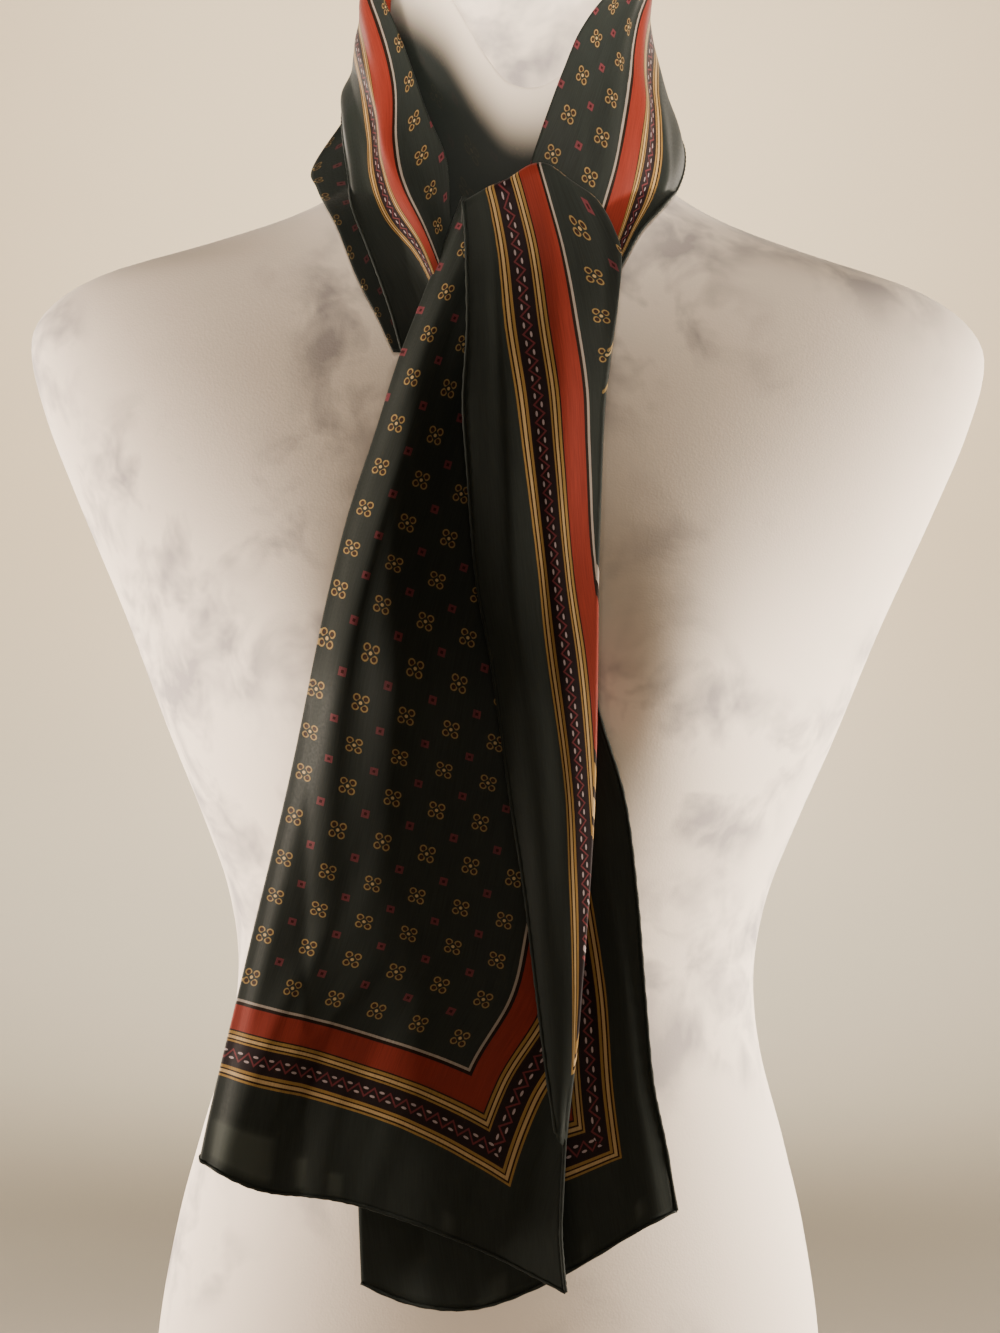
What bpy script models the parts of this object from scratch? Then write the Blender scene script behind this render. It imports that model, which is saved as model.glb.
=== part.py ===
"""An oblong printed scarf, worn round the neck of a limbless dress form.

Metres, +Z up, the form's flat bottom on Z = 0 and its front towards -Y.
Every length in the tables is in millimetres and is turned to metres when a mesh is made.
"""
import math
from collections import namedtuple

import bpy

MM = 0.001

# Driving sizes
WALL = 1.2            # wall of every stretch of cloth
BUST_Z = 385.0        # height of the fullest part of the chest
BUST_X = 78.0         # each side's fullest point, from the centre
BUST_OUT = 34.0       # how far it stands out of the plain torso
BUST_SPREAD = 43.0    # its spread, sideways and up
NECK_AXIS_Y = 4.0     # the neck stands this far behind the side seams
PLUMB_EASE = 0.04     # share of its depth that hanging cloth falls back by at the floor
RING_POINTS = 44      # points round the dress form

# Distance of each layer's middle from what it hangs on, at the front
LAYER_UNDER_RETURN = 2.0
LAYER_UNDER = 5.0
LAYER_RETURN = 7.4
LAYER_STRAND_LEFT = 8.4
LAYER_STRAND_RIGHT = 5.0
LAYER_STRIP = 4.5

# The front end's edges: how far they turn in or rise, and the share of its width over which they do
EDGE_TURN = 3.0       # how far the front end's left fold turns in
EDGE_SHARE = 0.06
RIGHT_RISE = 2.5      # how far its right edge rises out of the trough
RIGHT_FROM = 0.75

# The dress form, bottom to top: half width, depth in front and behind, and squareness of the section
Section = namedtuple("Section", "z half_width front back power")
FORM = [
    Section(0, 147, 96, 100, 2.3),
    Section(50, 148, 98, 104, 2.3),
    Section(104, 146, 98, 103, 2.3),
    Section(155, 138, 94, 96, 2.3),
    Section(195, 128, 89, 88, 2.3),
    Section(235, 117, 83, 80, 2.3),
    Section(268, 114, 81, 76, 2.3),
    Section(300, 119, 86, 78, 2.3),
    Section(330, 130, 92, 82, 2.3),
    Section(370, 147, 96, 88, 2.3),
    Section(420, 167, 93, 94, 2.3),
    Section(470, 189, 87, 97, 2.3),
    Section(510, 205, 79, 95, 2.3),
    Section(540, 211, 71, 90, 2.3),
    Section(556, 202, 67, 86, 2.3),
    Section(570, 179, 63, 81, 2.3),
    Section(584, 134, 60, 76, 2.2),
    Section(597, 97, 57, 70, 2.1),
    Section(612, 71, 53, 63, 2.0),
    Section(635, 56, 49, 56, 2.0),
    Section(665, 52, 47, 52, 2.0),
    Section(700, 51, 46, 50, 2.0),
    Section(728, 51, 46, 50, 2.0),
    Section(739, 47, 42, 46, 2.0),
    Section(744, 37, 33, 37, 2.0),
]
FORM_LEVELS = [0, 26, 52, 78, 104, 130, 155, 180, 205, 230, 252, 272, 292, 312, 332, 352, 370, 388, 406, 424,
               442, 460, 478, 496, 512, 526, 538, 547, 555, 562, 569, 576, 583, 590, 597, 604, 612, 623, 635,
               650, 668, 688, 708, 728, 735, 740, 744]

# The band round the neck, from the crossing in front, round the viewer's left, the back and the right.
# Inner edge against the neck and outer edge away from it: angle from the front (right is plus),
# distance from the neck's axis, and height.
Band = namedtuple("Band", "turn in_deg in_r in_z out_deg out_r out_z")
BAND = [
    Band(0, -15, 77, 564, -28, 93, 530),
    Band(1, -19, 77.2, 590, -35, 88, 552),
    Band(2, -23, 72, 617, -45, 85, 577),
    Band(3, -35, 64, 638, -57, 81, 597),
    Band(4, -50, 59, 662, -69, 77, 614),
    Band(5, -68, 61, 690, -83, 77, 635),
    Band(6, -93, 64, 712, -100, 79, 650),
    Band(7, -125, 60, 720, -130, 75, 655),
    Band(8, -155, 56, 724, -157, 68, 652),
    Band(9, -180, 55, 725, -180, 66, 650),
    Band(10, -210, 56, 724, -207, 69, 652),
    Band(11, -240, 59, 721, -230, 74, 654),
    Band(12, -272, 60, 716, -246, 78, 652),
    Band(13, -296, 58, 704, -258, 77, 644),
    Band(14, -316, 54.5, 690, -268, 76, 636),
    Band(15, -330, 57, 675, -276, 75, 626),
    Band(16, -339, 60, 657, -286, 75, 613),
    Band(17, -346, 62, 638, -298, 74, 600),
    Band(18, -352, 63, 618, -311, 73, 587),
    Band(19, -358, 66, 597, -322, 75, 570),
]
SEAM_TURN = 0.012     # half the gap between two stretches of the band, as a share of a row's step
BAND_SWELL = 2.5      # how far the band's middle bows out
LEFT_TURNS = (0.0, 6.0)
BACK_TURNS = (6.0, 11.0)
RIGHT_TURNS = (11.0, 19.0)

# The inner layer of the viewer's left strand, where it shows below the hem, bottom to top
Strip = namedtuple("Strip", "turn in_deg in_r in_z out_deg out_r out_z")
STRIP = [
    Strip(0, -28, 88, 532, -33, 89, 532),
    Strip(1, -35, 83.5, 552, -41, 85, 547),
    Strip(2, -45, 81, 575, -51, 84, 565),
    Strip(3, -57, 76.5, 594, -63, 84, 588),
    Strip(4, -69, 72.5, 610, -77, 87, 609),
    Strip(5, -83, 72.5, 629, -86, 89.5, 624),
    Strip(6, -98, 75, 645, -94, 80, 644),
]

# The front end from its bottom hem up to the crossing: distance from the hem along the cloth, the left
# fold, the right edge (the hem below the turned-over part, then the fold), how far the middle dips,
# how far the left part is puffed out, and how far the whole stands off what it hangs on
Panel = namedtuple("Panel", "up left_x left_z right_x right_z dip puff lift")
PANEL = [
    Panel(0, -119, 195, 29, 147, 3, 2, 12),
    Panel(22, -116, 213, 28, 168, 3, 2.5, 12),
    Panel(44, -112, 232, 28, 188, 2, 3, 12),
    Panel(77, -105, 262, 30, 222, 1, 3.5, 12),
    Panel(110, -98, 294, 33, 256, 0, 4, 12),
    Panel(146, -91, 325, 35, 291, 0, 6, 12),
    Panel(180, -84, 358, 37, 325, 0, 8, 12),
    Panel(215, -78, 390, 38, 357, 0, 10, 12),
    Panel(250, -71, 430, 38, 391, 0, 12, 12),
    Panel(285, -64, 463, 38, 428, 0, 13, 12),
    Panel(320, -54, 497, 39, 470, 0, 12, 12),
    Panel(350, -45, 529, 40, 506, 0, 10, 12.5),
    Panel(377, -35.5, 556, 43, 535, 0, 7, 14),
    Panel(405, -25, 585, 45, 560, 2, 3, 17.5),
    Panel(425, -20, 602, 42, 574, 6, 0, 18.5),
]
CROWN_AT = 0.15       # where the puffed left part stands highest, as a share of the width
CROWN_SPREAD = 0.13   # how far it reaches from there

# The turned-over edge of the front end, from its tip up to the crest of the crossing
Lapel = namedtuple("Lapel", "up hem_x hem_z fold_x fold_z rise stand lift")
LAPEL = [
    Lapel(62, 26.5, 205, 29.5, 209, 0, 1.5, 16.5),
    Lapel(94, 21, 240, 33, 243, 0, 3, 16.5),
    Lapel(120, 17, 266, 34.5, 270, 0, 4, 16.5),
    Lapel(163, 11, 309, 37, 314, 0, 7.5, 16.5),
    Lapel(199, 5, 344, 38, 350, 0, 9.5, 16.5),
    Lapel(256, -4, 401, 38, 406, 0, 11.5, 16.5),
    Lapel(291, -11, 436, 38, 442, 0, 12, 16.5),
    Lapel(340, -16, 485, 39, 491, 0, 12, 16.5),
    Lapel(365, -18, 510, 40, 517, 0, 11, 17.5),
    Lapel(393, -17, 540, 43.5, 543, 1, 9, 19.5),
    Lapel(422, -18, 570, 46.5, 565, 7, 7, 22),
    Lapel(440, -19, 586, 46, 579, 14, 6, 23.5),
    Lapel(448, -20, 594, 42, 589, 20, 6, 24),
]
# How its top bends up across it: the share from its fold, and the share of its row's rise
Crest = namedtuple("Crest", "share up")
CREST = [Crest(0, 0), Crest(0.1, 0.42), Crest(0.28, 0.74), Crest(0.43, 1.0), Crest(0.55, 0.93),
         Crest(0.7, 0.58), Crest(0.83, 0.36), Crest(1, 0)]
LAPEL_ARCH = 0.72     # share of a half wave that it follows from its fold to its hem
# Beyond the crest the cloth rolls back and down into the throat: rows of (back, down) from the crest
CREST_ROLL = [(2.0, -1.0), (4.0, -0.6), (5.3, 1.8)]
CREST_RIGHT = 0.6     # share of that roll at the right, where the cloth lies on the other strand

# The end that hangs behind, from under the crossing down to its hem
Under = namedtuple("Under", "down right_x right_z left_x left_z sag")
UNDER = [
    Under(0, 46, 568.5, 1.5, 595.5, 0),
    Under(30, 39, 541, -9, 552, 0),
    Under(65, 35, 505, -16, 508, 0),
    Under(105, 33, 465, -22, 468, 0),
    Under(145, 34, 425, -29, 428, 0),
    Under(185, 39, 386, -36, 390, 0),
    Under(225, 51, 347, -41, 352, 1),
    Under(265, 57, 307, -45, 312, 3),
    Under(305, 61, 267, -49, 272, 5),
    Under(340, 65, 230, -52, 232, 9),
    Under(370, 71, 200, -55, 190, 15),
    Under(392, 76, 177, -53, 148, 23),
]

UNDER_TUCK = 1.0      # how far its left fold turns in, to meet the cloth folded back behind it

# Share of the visible width that the folded-back cloth covers, and how much shorter it ends
RETURN_SHARE = 0.86
RETURN_LIFT = 0.12

# Colours and finish of the plain solids
COVER_COLOUR = (0.80, 0.76, 0.70)
CLOTH_COLOURS = {
    "neck_left": (0.040, 0.046, 0.044),
    "neck_right": (0.040, 0.046, 0.044),
    "neck_back": (0.036, 0.042, 0.040),
    "neck_left_under": (0.030, 0.034, 0.034),
    "front_tail": (0.036, 0.042, 0.040),
    "front_return": (0.026, 0.030, 0.030),
    "lapel": (0.30, 0.052, 0.028),
    "under_tail": (0.040, 0.046, 0.044),
    "under_return": (0.026, 0.030, 0.030),
}
COVER_ROUGHNESS = 0.75
CLOTH_ROUGHNESS = 0.45


def read(rows, column, at):
    """Smooth value of a table's column at a value of its first column."""
    keys = [row[0] for row in rows]
    values = [getattr(row, column) for row in rows]
    if at <= keys[0]:
        return values[0]
    if at >= keys[-1]:
        return values[-1]
    i = max(k for k in range(len(keys) - 1) if keys[k] <= at)

    def slope(k):
        low, high = max(k - 1, 0), min(k + 1, len(keys) - 1)
        return (values[high] - values[low]) / (keys[high] - keys[low])

    step = keys[i + 1] - keys[i]
    t = (at - keys[i]) / step
    t2, t3 = t * t, t * t * t
    return ((2 * t3 - 3 * t2 + 1) * values[i] + (t3 - 2 * t2 + t) * step * slope(i)
            + (3 * t2 - 2 * t3) * values[i + 1] + (t3 - t2) * step * slope(i + 1))


def mix(a, b, t):
    return a + (b - a) * t


def ease(t):
    """0 to 1 with a soft start and end."""
    t = min(max(t, 0.0), 1.0)
    return t * t * (3 - 2 * t)


def hump(t, centre, spread):
    """Soft bump of height 1."""
    return math.exp(-((t - centre) / spread) ** 2)


def bust(x, z):
    """Extra depth of the chest at a point of its front."""
    up = math.exp(-((z - BUST_Z) / BUST_SPREAD) ** 2 / 2)
    sides = sum(math.exp(-((x - side * BUST_X) / BUST_SPREAD) ** 2 / 2) for side in (-1, 1))
    return BUST_OUT * up * sides


def form_front(x, z):
    """Y of the dress form's front at a width and height."""
    reach = min(abs(x) / read(FORM, "half_width", z), 1.0)
    power = read(FORM, "power", z)
    return -(read(FORM, "front", z) + bust(x, z)) * (1 - reach ** power) ** (1 / power)


def form_ring(z):
    """Points round the dress form at a height."""
    points = []
    power = read(FORM, "power", z)
    for i in range(RING_POINTS):
        angle = 2 * math.pi * i / RING_POINTS
        c, s = math.cos(angle), math.sin(angle)
        x = read(FORM, "half_width", z) * math.copysign(abs(c) ** (2 / power), c)
        deep = abs(s) ** (2 / power)
        if s < 0:
            y = -(read(FORM, "front", z) + bust(x, z)) * deep
        else:
            y = read(FORM, "back", z) * deep
        points.append((x, y, z))
    return points


def hanging(x, z):
    """Y of what the front cloth hangs on: the chest, then a plumb fall from its fullest part."""
    near = min(max(x, -BUST_X), BUST_X)
    y = form_front(near, max(z, BUST_Z))
    return y * (1 - PLUMB_EASE * max(BUST_Z - z, 0) / BUST_Z)


def clear(x, y, z, layer):
    """The same point, but no nearer the front of the form than its layer."""
    if y > NECK_AXIS_Y or abs(x) >= read(FORM, "half_width", z):
        return (x, y, z)
    return (x, min(y, form_front(x, z) - layer), z)


def material(name, colour, roughness):
    """Plain principled material."""
    made = bpy.data.materials.new(name)
    made.use_nodes = True
    shader = made.node_tree.nodes["Principled BSDF"]
    shader.inputs["Base Color"].default_value = (*colour, 1.0)
    shader.inputs["Roughness"].default_value = roughness
    shader.inputs["Metallic"].default_value = 0.0
    return made


def add_mesh(name, points, faces, colour, roughness):
    """Object from points in millimetres."""
    mesh = bpy.data.meshes.new(name)
    mesh.from_pydata([tuple(MM * c for c in p) for p in points], [], faces)
    mesh.materials.append(material(name, colour, roughness))
    mesh.shade_smooth()
    thing = bpy.data.objects.new(name, mesh)
    bpy.context.collection.objects.link(thing)
    return thing


def add_cloth(name, rows):
    """Wall of cloth whose middle passes through rows of points."""
    across = len(rows[0])
    points = [p for row in rows for p in row]
    faces = []
    for j in range(len(rows) - 1):
        for i in range(across - 1):
            a = j * across + i
            faces.append((a, a + 1, a + across + 1, a + across))
    thing = add_mesh(name, points, faces, CLOTH_COLOURS[name], CLOTH_ROUGHNESS)
    wall = thing.modifiers.new("wall", "SOLIDIFY")
    wall.thickness = WALL * MM
    wall.offset = 0.0
    wall.use_even_offset = True
    return thing


def add_form():
    """Torso and neck: rings skinned together, flat below, a soft flat top on the neck."""
    rings = [form_ring(z) for z in FORM_LEVELS]
    points = [p for ring in rings for p in ring]
    faces = []
    for j in range(len(rings) - 1):
        for i in range(RING_POINTS):
            a = j * RING_POINTS + i
            b = j * RING_POINTS + (i + 1) % RING_POINTS
            faces.append((a, b, b + RING_POINTS, a + RING_POINTS))
    faces.append(tuple(reversed(range(RING_POINTS))))
    top = (len(rings) - 1) * RING_POINTS
    faces.append(tuple(range(top, top + RING_POINTS)))
    return add_mesh("dress_form", points, faces, COVER_COLOUR, COVER_ROUGHNESS)


def steps(first, last, count):
    """Evenly spaced values, both ends among them."""
    return [mix(first, last, k / (count - 1)) for k in range(count)]


def polar(degrees, radius, z):
    """Point at an angle from the front, round the neck's axis."""
    angle = math.radians(degrees)
    return (radius * math.sin(angle), NECK_AXIS_Y - radius * math.cos(angle), z)


def band_point(table, turn, s, layer, swell=0.0):
    """Point of a band round the neck: s is 0 at its inner edge and 1 at its outer one."""
    degrees = mix(read(table, "in_deg", turn), read(table, "out_deg", turn), s)
    radius = mix(read(table, "in_r", turn), read(table, "out_r", turn), s) + swell * math.sin(math.pi * s)
    z = mix(read(table, "in_z", turn), read(table, "out_z", turn), s)
    return clear(*polar(degrees, radius, z), layer)


def add_band(name, turns, layer, rows, across):
    """One stretch of the band, short of its neighbours by a seam's gap."""
    first, last = turns[0] + SEAM_TURN, turns[1] - SEAM_TURN
    grid = [[band_point(BAND, turn, s, layer, BAND_SWELL) for s in steps(0, 1, across)]
            for turn in steps(first, last, rows)]
    return add_cloth(name, grid)


def panel_lift(s, puff):
    """Height over the trough of the front end: left crown and right edge."""
    edge = EDGE_TURN * (1 - ease(s / EDGE_SHARE))
    crown = puff * hump(s, CROWN_AT, CROWN_SPREAD)
    right = RIGHT_RISE * ease((s - RIGHT_FROM) / (1 - RIGHT_FROM))
    return crown + right - edge


def panel_point(up, s):
    """Point of the front end: s is 0 at its left fold and 1 at its right edge."""
    x = mix(read(PANEL, "left_x", up), read(PANEL, "right_x", up), s)
    z = mix(read(PANEL, "left_z", up), read(PANEL, "right_z", up), s)
    z -= read(PANEL, "dip", up) * math.sin(math.pi * s)
    lift = read(PANEL, "lift", up) + panel_lift(s, read(PANEL, "puff", up))
    return (x, hanging(x, z) - lift, z)


def add_front_tail():
    grid = [[panel_point(up, s) for s in steps(0, 0.985, 17)] for up in steps(0, 425, 30)]
    return add_cloth("front_tail", grid)


def add_front_return():
    """The cloth that turns back behind the front end at its left fold."""
    grid = []
    for up in steps(0, 345, 19):
        left_x, left_z = read(PANEL, "left_x", up), read(PANEL, "left_z", up)
        right_x, right_z = read(PANEL, "right_x", up), read(PANEL, "right_z", up)
        row = []
        for s in steps(0, RETURN_SHARE, 8):
            x = mix(left_x, right_x, s)
            z = mix(left_z, right_z, s) + RETURN_LIFT * (x - left_x)
            row.append((x, hanging(x, z) - LAYER_RETURN, z))
        grid.append(row)
    return add_cloth("front_return", grid)


def lapel_point(up, s):
    """Point of the turned-over edge: s is 0 at its fold and 1 at its hem."""
    x = mix(read(LAPEL, "fold_x", up), read(LAPEL, "hem_x", up), s)
    z = mix(read(LAPEL, "fold_z", up), read(LAPEL, "hem_z", up), s)
    z += read(LAPEL, "rise", up) * read(CREST, "up", s)
    stand = read(LAPEL, "stand", up) * math.sin(math.pi * LAPEL_ARCH * s)
    return (x, hanging(x, z) - read(LAPEL, "lift", up) - stand, z)


def add_lapel():
    across = steps(0, 1, 11)
    grid = [[lapel_point(up, s) for s in across] for up in steps(62, 448, 26)]
    crest = grid[-1]
    for back, down in CREST_ROLL:
        grid.append([(x, y + back * mix(CREST_RIGHT, 1, ease(s / 0.5)), z - down)
                     for (x, y, z), s in zip(crest, across)])
    return add_cloth("lapel", grid)


def under_point(down, s, layer):
    """Point of the end behind: s is 0 at its right hem and 1 at its left fold."""
    x = mix(read(UNDER, "right_x", down), read(UNDER, "left_x", down), s)
    z = mix(read(UNDER, "right_z", down), read(UNDER, "left_z", down), s)
    z -= read(UNDER, "sag", down) * math.sin(math.pi * s)
    edge = UNDER_TUCK * ease((s - 0.9) / 0.1) if layer == LAYER_UNDER else 0
    return (x, hanging(x, z) - layer + edge, z)


def add_under_tail():
    grid = [[under_point(down, s, LAYER_UNDER) for s in steps(0, 1, 12)] for down in steps(0, 392, 26)]
    return add_cloth("under_tail", grid)


def add_under_return():
    """The cloth that turns back behind the other end at its left fold."""
    grid = [[under_point(down, 1 - s, LAYER_UNDER_RETURN) for s in steps(0, RETURN_SHARE, 7)]
            for down in steps(60, 380, 19)]
    return add_cloth("under_return", grid)


def add_strip():
    grid = [[band_point(STRIP, turn, s, LAYER_STRIP) for s in steps(0, 1, 5)] for turn in steps(0, 6, 16)]
    return add_cloth("neck_left_under", grid)


def main():
    for thing in list(bpy.data.objects):
        bpy.data.objects.remove(thing, do_unlink=True)
    add_form()
    add_band("neck_left", LEFT_TURNS, LAYER_STRAND_LEFT, 18, 9)
    add_band("neck_back", BACK_TURNS, LAYER_STRAND_LEFT, 16, 7)
    add_band("neck_right", RIGHT_TURNS, LAYER_STRAND_RIGHT, 24, 9)
    add_strip()
    add_front_tail()
    add_front_return()
    add_lapel()
    add_under_tail()
    add_under_return()


main()
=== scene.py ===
"""Looks of an oblong printed scarf worn round the neck of a limbless dress form.

The tables give the cloth's lie in millimetres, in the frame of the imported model: Z up, the form's flat
bottom on Z = 0 and its front towards -Y. Every point of the cloth also keeps where it lies in the flat
cut: W from one side hem and E from the front end, and the print is worked out from those two lengths.
"""

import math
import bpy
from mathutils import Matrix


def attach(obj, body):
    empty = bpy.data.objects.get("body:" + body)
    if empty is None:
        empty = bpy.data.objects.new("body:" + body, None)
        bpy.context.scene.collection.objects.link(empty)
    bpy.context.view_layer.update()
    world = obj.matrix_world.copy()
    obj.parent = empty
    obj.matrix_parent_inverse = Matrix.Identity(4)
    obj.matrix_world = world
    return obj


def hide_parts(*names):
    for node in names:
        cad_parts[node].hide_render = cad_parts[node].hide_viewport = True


bl_info = {
    "name": "Printed scarf on a dress form",
    "version": (1, 0, 0),
    "blender": (4, 5, 0),
    "location": "View3D > Sidebar > Scarf",
    "description": "Builds the scarf, its printed silk, the dress form's cover and a plain stage",
    "category": "Add Mesh",
}

from collections import namedtuple

import bpy
from bpy.props import FloatProperty, FloatVectorProperty, PointerProperty

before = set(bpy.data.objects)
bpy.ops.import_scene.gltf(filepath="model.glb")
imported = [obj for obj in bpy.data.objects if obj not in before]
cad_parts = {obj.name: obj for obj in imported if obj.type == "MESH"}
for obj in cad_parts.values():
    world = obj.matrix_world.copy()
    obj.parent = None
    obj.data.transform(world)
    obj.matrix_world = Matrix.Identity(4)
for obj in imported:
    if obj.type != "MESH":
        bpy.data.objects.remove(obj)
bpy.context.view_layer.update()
MM = 0.001

# The flat cut and its print
CUT_WIDTH = 300.0        # across is W, along is E
CUT_LENGTH = 1400.0
SIDE_MARGIN = 24.0
END_MARGIN = 44.0
PRINT_BAND = 33.4        # from the margin to the field
FLOWER_FIRST_W = 66.3
FLOWER_STEP_W = 18.6
FLOWER_FIRST_E = 87.0
FLOWER_STEP_E = 18.3
CHAIN_PITCH = 7.35

# The chest and what hangs from it
BUST_Z = 385.0
BUST_X = 78.0
BUST_OUT = 34.0
BUST_SPREAD = 43.0
NECK_AXIS_Y = 4.0        # the neck stands this far behind the side seams
PLUMB_EASE = 0.04        # share of its depth that hanging cloth falls back by at the floor

# Distance of each layer's middle from what it hangs on
LAYER_UNDER_RETURN = 2.0
LAYER_UNDER = 5.0
LAYER_RETURN = 7.4
LAYER_STRAND_LEFT = 8.4
LAYER_STRAND_RIGHT = 5.0
LAYER_STRIP = 4.5


def rows_of(kind, rows):
    """Table whose rows have named columns."""
    return [kind(*row) for row in rows]


# The dress form: half width, depth in front and behind, and squareness of the section
Section = namedtuple("Section", "z half_width front back power")
FORM = rows_of(Section, [
    (0, 147, 96, 100, 2.3),
    (50, 148, 98, 104, 2.3),
    (104, 146, 98, 103, 2.3),
    (155, 138, 94, 96, 2.3),
    (195, 128, 89, 88, 2.3),
    (235, 117, 83, 80, 2.3),
    (268, 114, 81, 76, 2.3),
    (300, 119, 86, 78, 2.3),
    (330, 130, 92, 82, 2.3),
    (370, 147, 96, 88, 2.3),
    (420, 167, 93, 94, 2.3),
    (470, 189, 87, 97, 2.3),
    (510, 205, 79, 95, 2.3),
    (540, 211, 71, 90, 2.3),
    (556, 202, 67, 86, 2.3),
    (570, 179, 63, 81, 2.3),
    (584, 134, 60, 76, 2.2),
    (597, 97, 57, 70, 2.1),
    (612, 71, 53, 63, 2.0),
    (635, 56, 49, 56, 2.0),
    (665, 52, 47, 52, 2.0),
    (700, 51, 46, 50, 2.0),
    (728, 51, 46, 50, 2.0),
    (739, 47, 42, 46, 2.0),
    (744, 37, 33, 37, 2.0),
])

# The band round the neck: inner and outer edge as an angle from the front, a distance from the neck's
# axis and a height; then the shares of its width at which the white line, the red band's outer side and
# the outer gold line lie, W at its inner edge, and how far its middle and its red band stand out
Band = namedtuple("Band", "turn in_deg in_r in_z out_deg out_r out_z line red gold inner swell ridge")
BAND = rows_of(Band, [
    (0, -15, 77, 564, -28, 93, 530, 0.16, 0.25, 0.34, 217, 2.5, 5.5),
    (1, -19, 77.2, 590, -35, 88, 552, 0.25, 0.34, 0.48, 219, 2.5, 4.5),
    (2, -23, 72, 617, -45, 85, 577, 0.38, 0.51, 0.72, 222, 2.5, 4.0),
    (3, -35, 64, 638, -57, 81, 597, 0.31, 0.48, 0.72, 226, 2.5, 3.0),
    (4, -50, 59, 662, -69, 76, 614, 0.16, 0.39, 0.67, 230, 1.5, 2.8),
    (5, -68, 61, 690, -83, 75, 635, 0.09, 0.33, 0.61, 232, 0.5, 3.0),
    (6, -93, 62, 712, -100, 75.5, 650, 0.10, 0.31, 0.58, 230, 1.0, 3.2),
    (7, -125, 59.5, 720, -130, 73, 655, 0.16, 0.34, 0.60, 228, 1.0, 3.0),
    (8, -155, 55, 724, -157, 67, 652, 0.24, 0.39, 0.68, 225, 1.5, 3.0),
    (9, -180, 54, 725, -180, 66, 650, 0.24, 0.39, 0.68, 222, 2.0, 3.0),
    (10, -210, 55, 724, -207, 68, 652, 0.24, 0.39, 0.68, 219, 1.5, 3.0),
    (11, -240, 56, 721, -230, 71, 654, 0.22, 0.36, 0.66, 216, 0.0, 2.0),
    (12, -272, 56.5, 716, -246, 73, 652, 0.16, 0.29, 0.60, 212, -2.0, 1.0),
    (13, -296, 56, 704, -258, 75, 642, 0.18, 0.28, 0.58, 208, -2.5, 1.0),
    (14, -316, 54.5, 690, -268, 76.5, 632, 0.30, 0.41, 0.62, 205, -2.0, 1.0),
    (15, -330, 57, 675, -276, 76.5, 622, 0.37, 0.50, 0.68, 204, 0.0, 1.5),
    (16, -339, 60, 657, -286, 75.5, 611, 0.42, 0.55, 0.79, 204, 1.5, 2.0),
    (17, -346, 62, 638, -298, 74, 600, 0.50, 0.66, 0.88, 205, 2.5, 2.0),
    (18, -352, 63, 618, -311, 73, 587, 0.60, 0.80, 0.95, 207, 2.5, 2.0),
    (19, -358, 66, 597, -322, 75, 570, 0.68, 0.86, 0.97, 209, 2.5, 2.0),
])
RED_SPREAD = 0.15        # spread of the ridge, as a share of the band's width
MARGIN_RIDGE = 1.0       # the margin stands out too: how far, and where, as shares of the width
MARGIN_AT = 0.9
MARGIN_SPREAD = 0.08
LINE_INNER = 57.2        # from the hem to the white line's two sides and to the red band's outer one
LINE_OUTER = 55.4
RED_OUTER = 46.0
LINE_SHARE = 0.026       # width of the white line, as a share of the band's
SEAM_TURN = 0.006        # half the gap between two stretches, as a share of a row's step
LEFT_TURNS = (0.0, 6.0)
BACK_TURNS = (6.0, 11.0)
RIGHT_TURNS = (11.0, 19.0)
STRAND_START = 425.0     # E of the band's first row

# The inner layer of the left strand, where it shows below the hem
Strip = namedtuple("Strip", "turn in_deg in_r in_z out_deg out_r out_z")
STRIP = rows_of(Strip, [
    (0, -28, 88, 532, -33, 89, 532),
    (1, -35, 83.5, 552, -41, 85, 547),
    (2, -45, 81, 575, -51, 84, 565),
    (3, -57, 76.5, 594, -63, 84, 588),
    (4, -69, 72.0, 610, -78, 87, 608),
    (5, -83, 70.5, 629, -86, 88.5, 619),
    (6, -98, 71, 645, -94, 76, 642),
])

STRIP_W = (88.0, 104.0)  # W at its inner and outer edge

# The front end: left fold, right edge, dip of the middle, puff of the left part, its lift, and W there
Panel = namedtuple("Panel", "up left_x left_z right_x right_z dip puff lift cut_left cut_right")
PANEL = rows_of(Panel, [
    (0, -119, 197.5, 31, 144.5, -5, 2, 12, 162, 0),
    (22, -116, 213, 29.5, 157, -9, 2.5, 12, 161, 0),
    (44, -112, 231, 28.5, 173, -10, 3, 12, 161, 0),
    (77, -105, 262, 30, 216, -6, 3.5, 12, 162, 12),
    (110, -98, 294, 33, 255, -2, 4, 12, 164, 29),
    (146, -91, 325, 35, 291, 0, 6, 12, 164, 34),
    (180, -84, 358, 37, 325, 0, 8, 12, 164, 39),
    (215, -78, 390, 38, 357, 0, 10, 12, 162, 44),
    (250, -71, 430, 38, 391, 0, 12, 12, 163, 48),
    (285, -64, 463, 38, 428, 0, 13, 12, 165, 56),
    (320, -54, 497, 39, 470, 0, 12, 12, 167, 60),
    (350, -45, 529, 40, 506, 0, 10, 12.5, 169, 62),
    (377, -35.5, 556, 43, 535, 0, 7, 14, 170, 66),
    (405, -25, 585, 45, 560, 2, 3, 17.5, 172, 72),
    (425, -20, 599.5, 42, 574, 6, 0, 18.5, 176, 76),
])
CROWN_AT = 0.15          # where the puffed left part stands highest, as a share of the width
CROWN_SPREAD = 0.13
EDGE_TURN = 3.0          # how far the left edge turns in, and over what share of the width
EDGE_SHARE = 0.06
RIGHT_RISE = 2.5         # how far the right edge rises, and from what share of the width on
RIGHT_FROM = 0.75
LEFT_BULGE = 0.8         # how far the cloth stands out where it turns at its left and right folds
RIGHT_BULGE = 1.0
HEM_DENT = 7.0           # how far the hem hangs down near its left corner, where, and up to what height
HEM_DENT_AT = 0.16
HEM_DENT_SPREAD = 0.16
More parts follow.
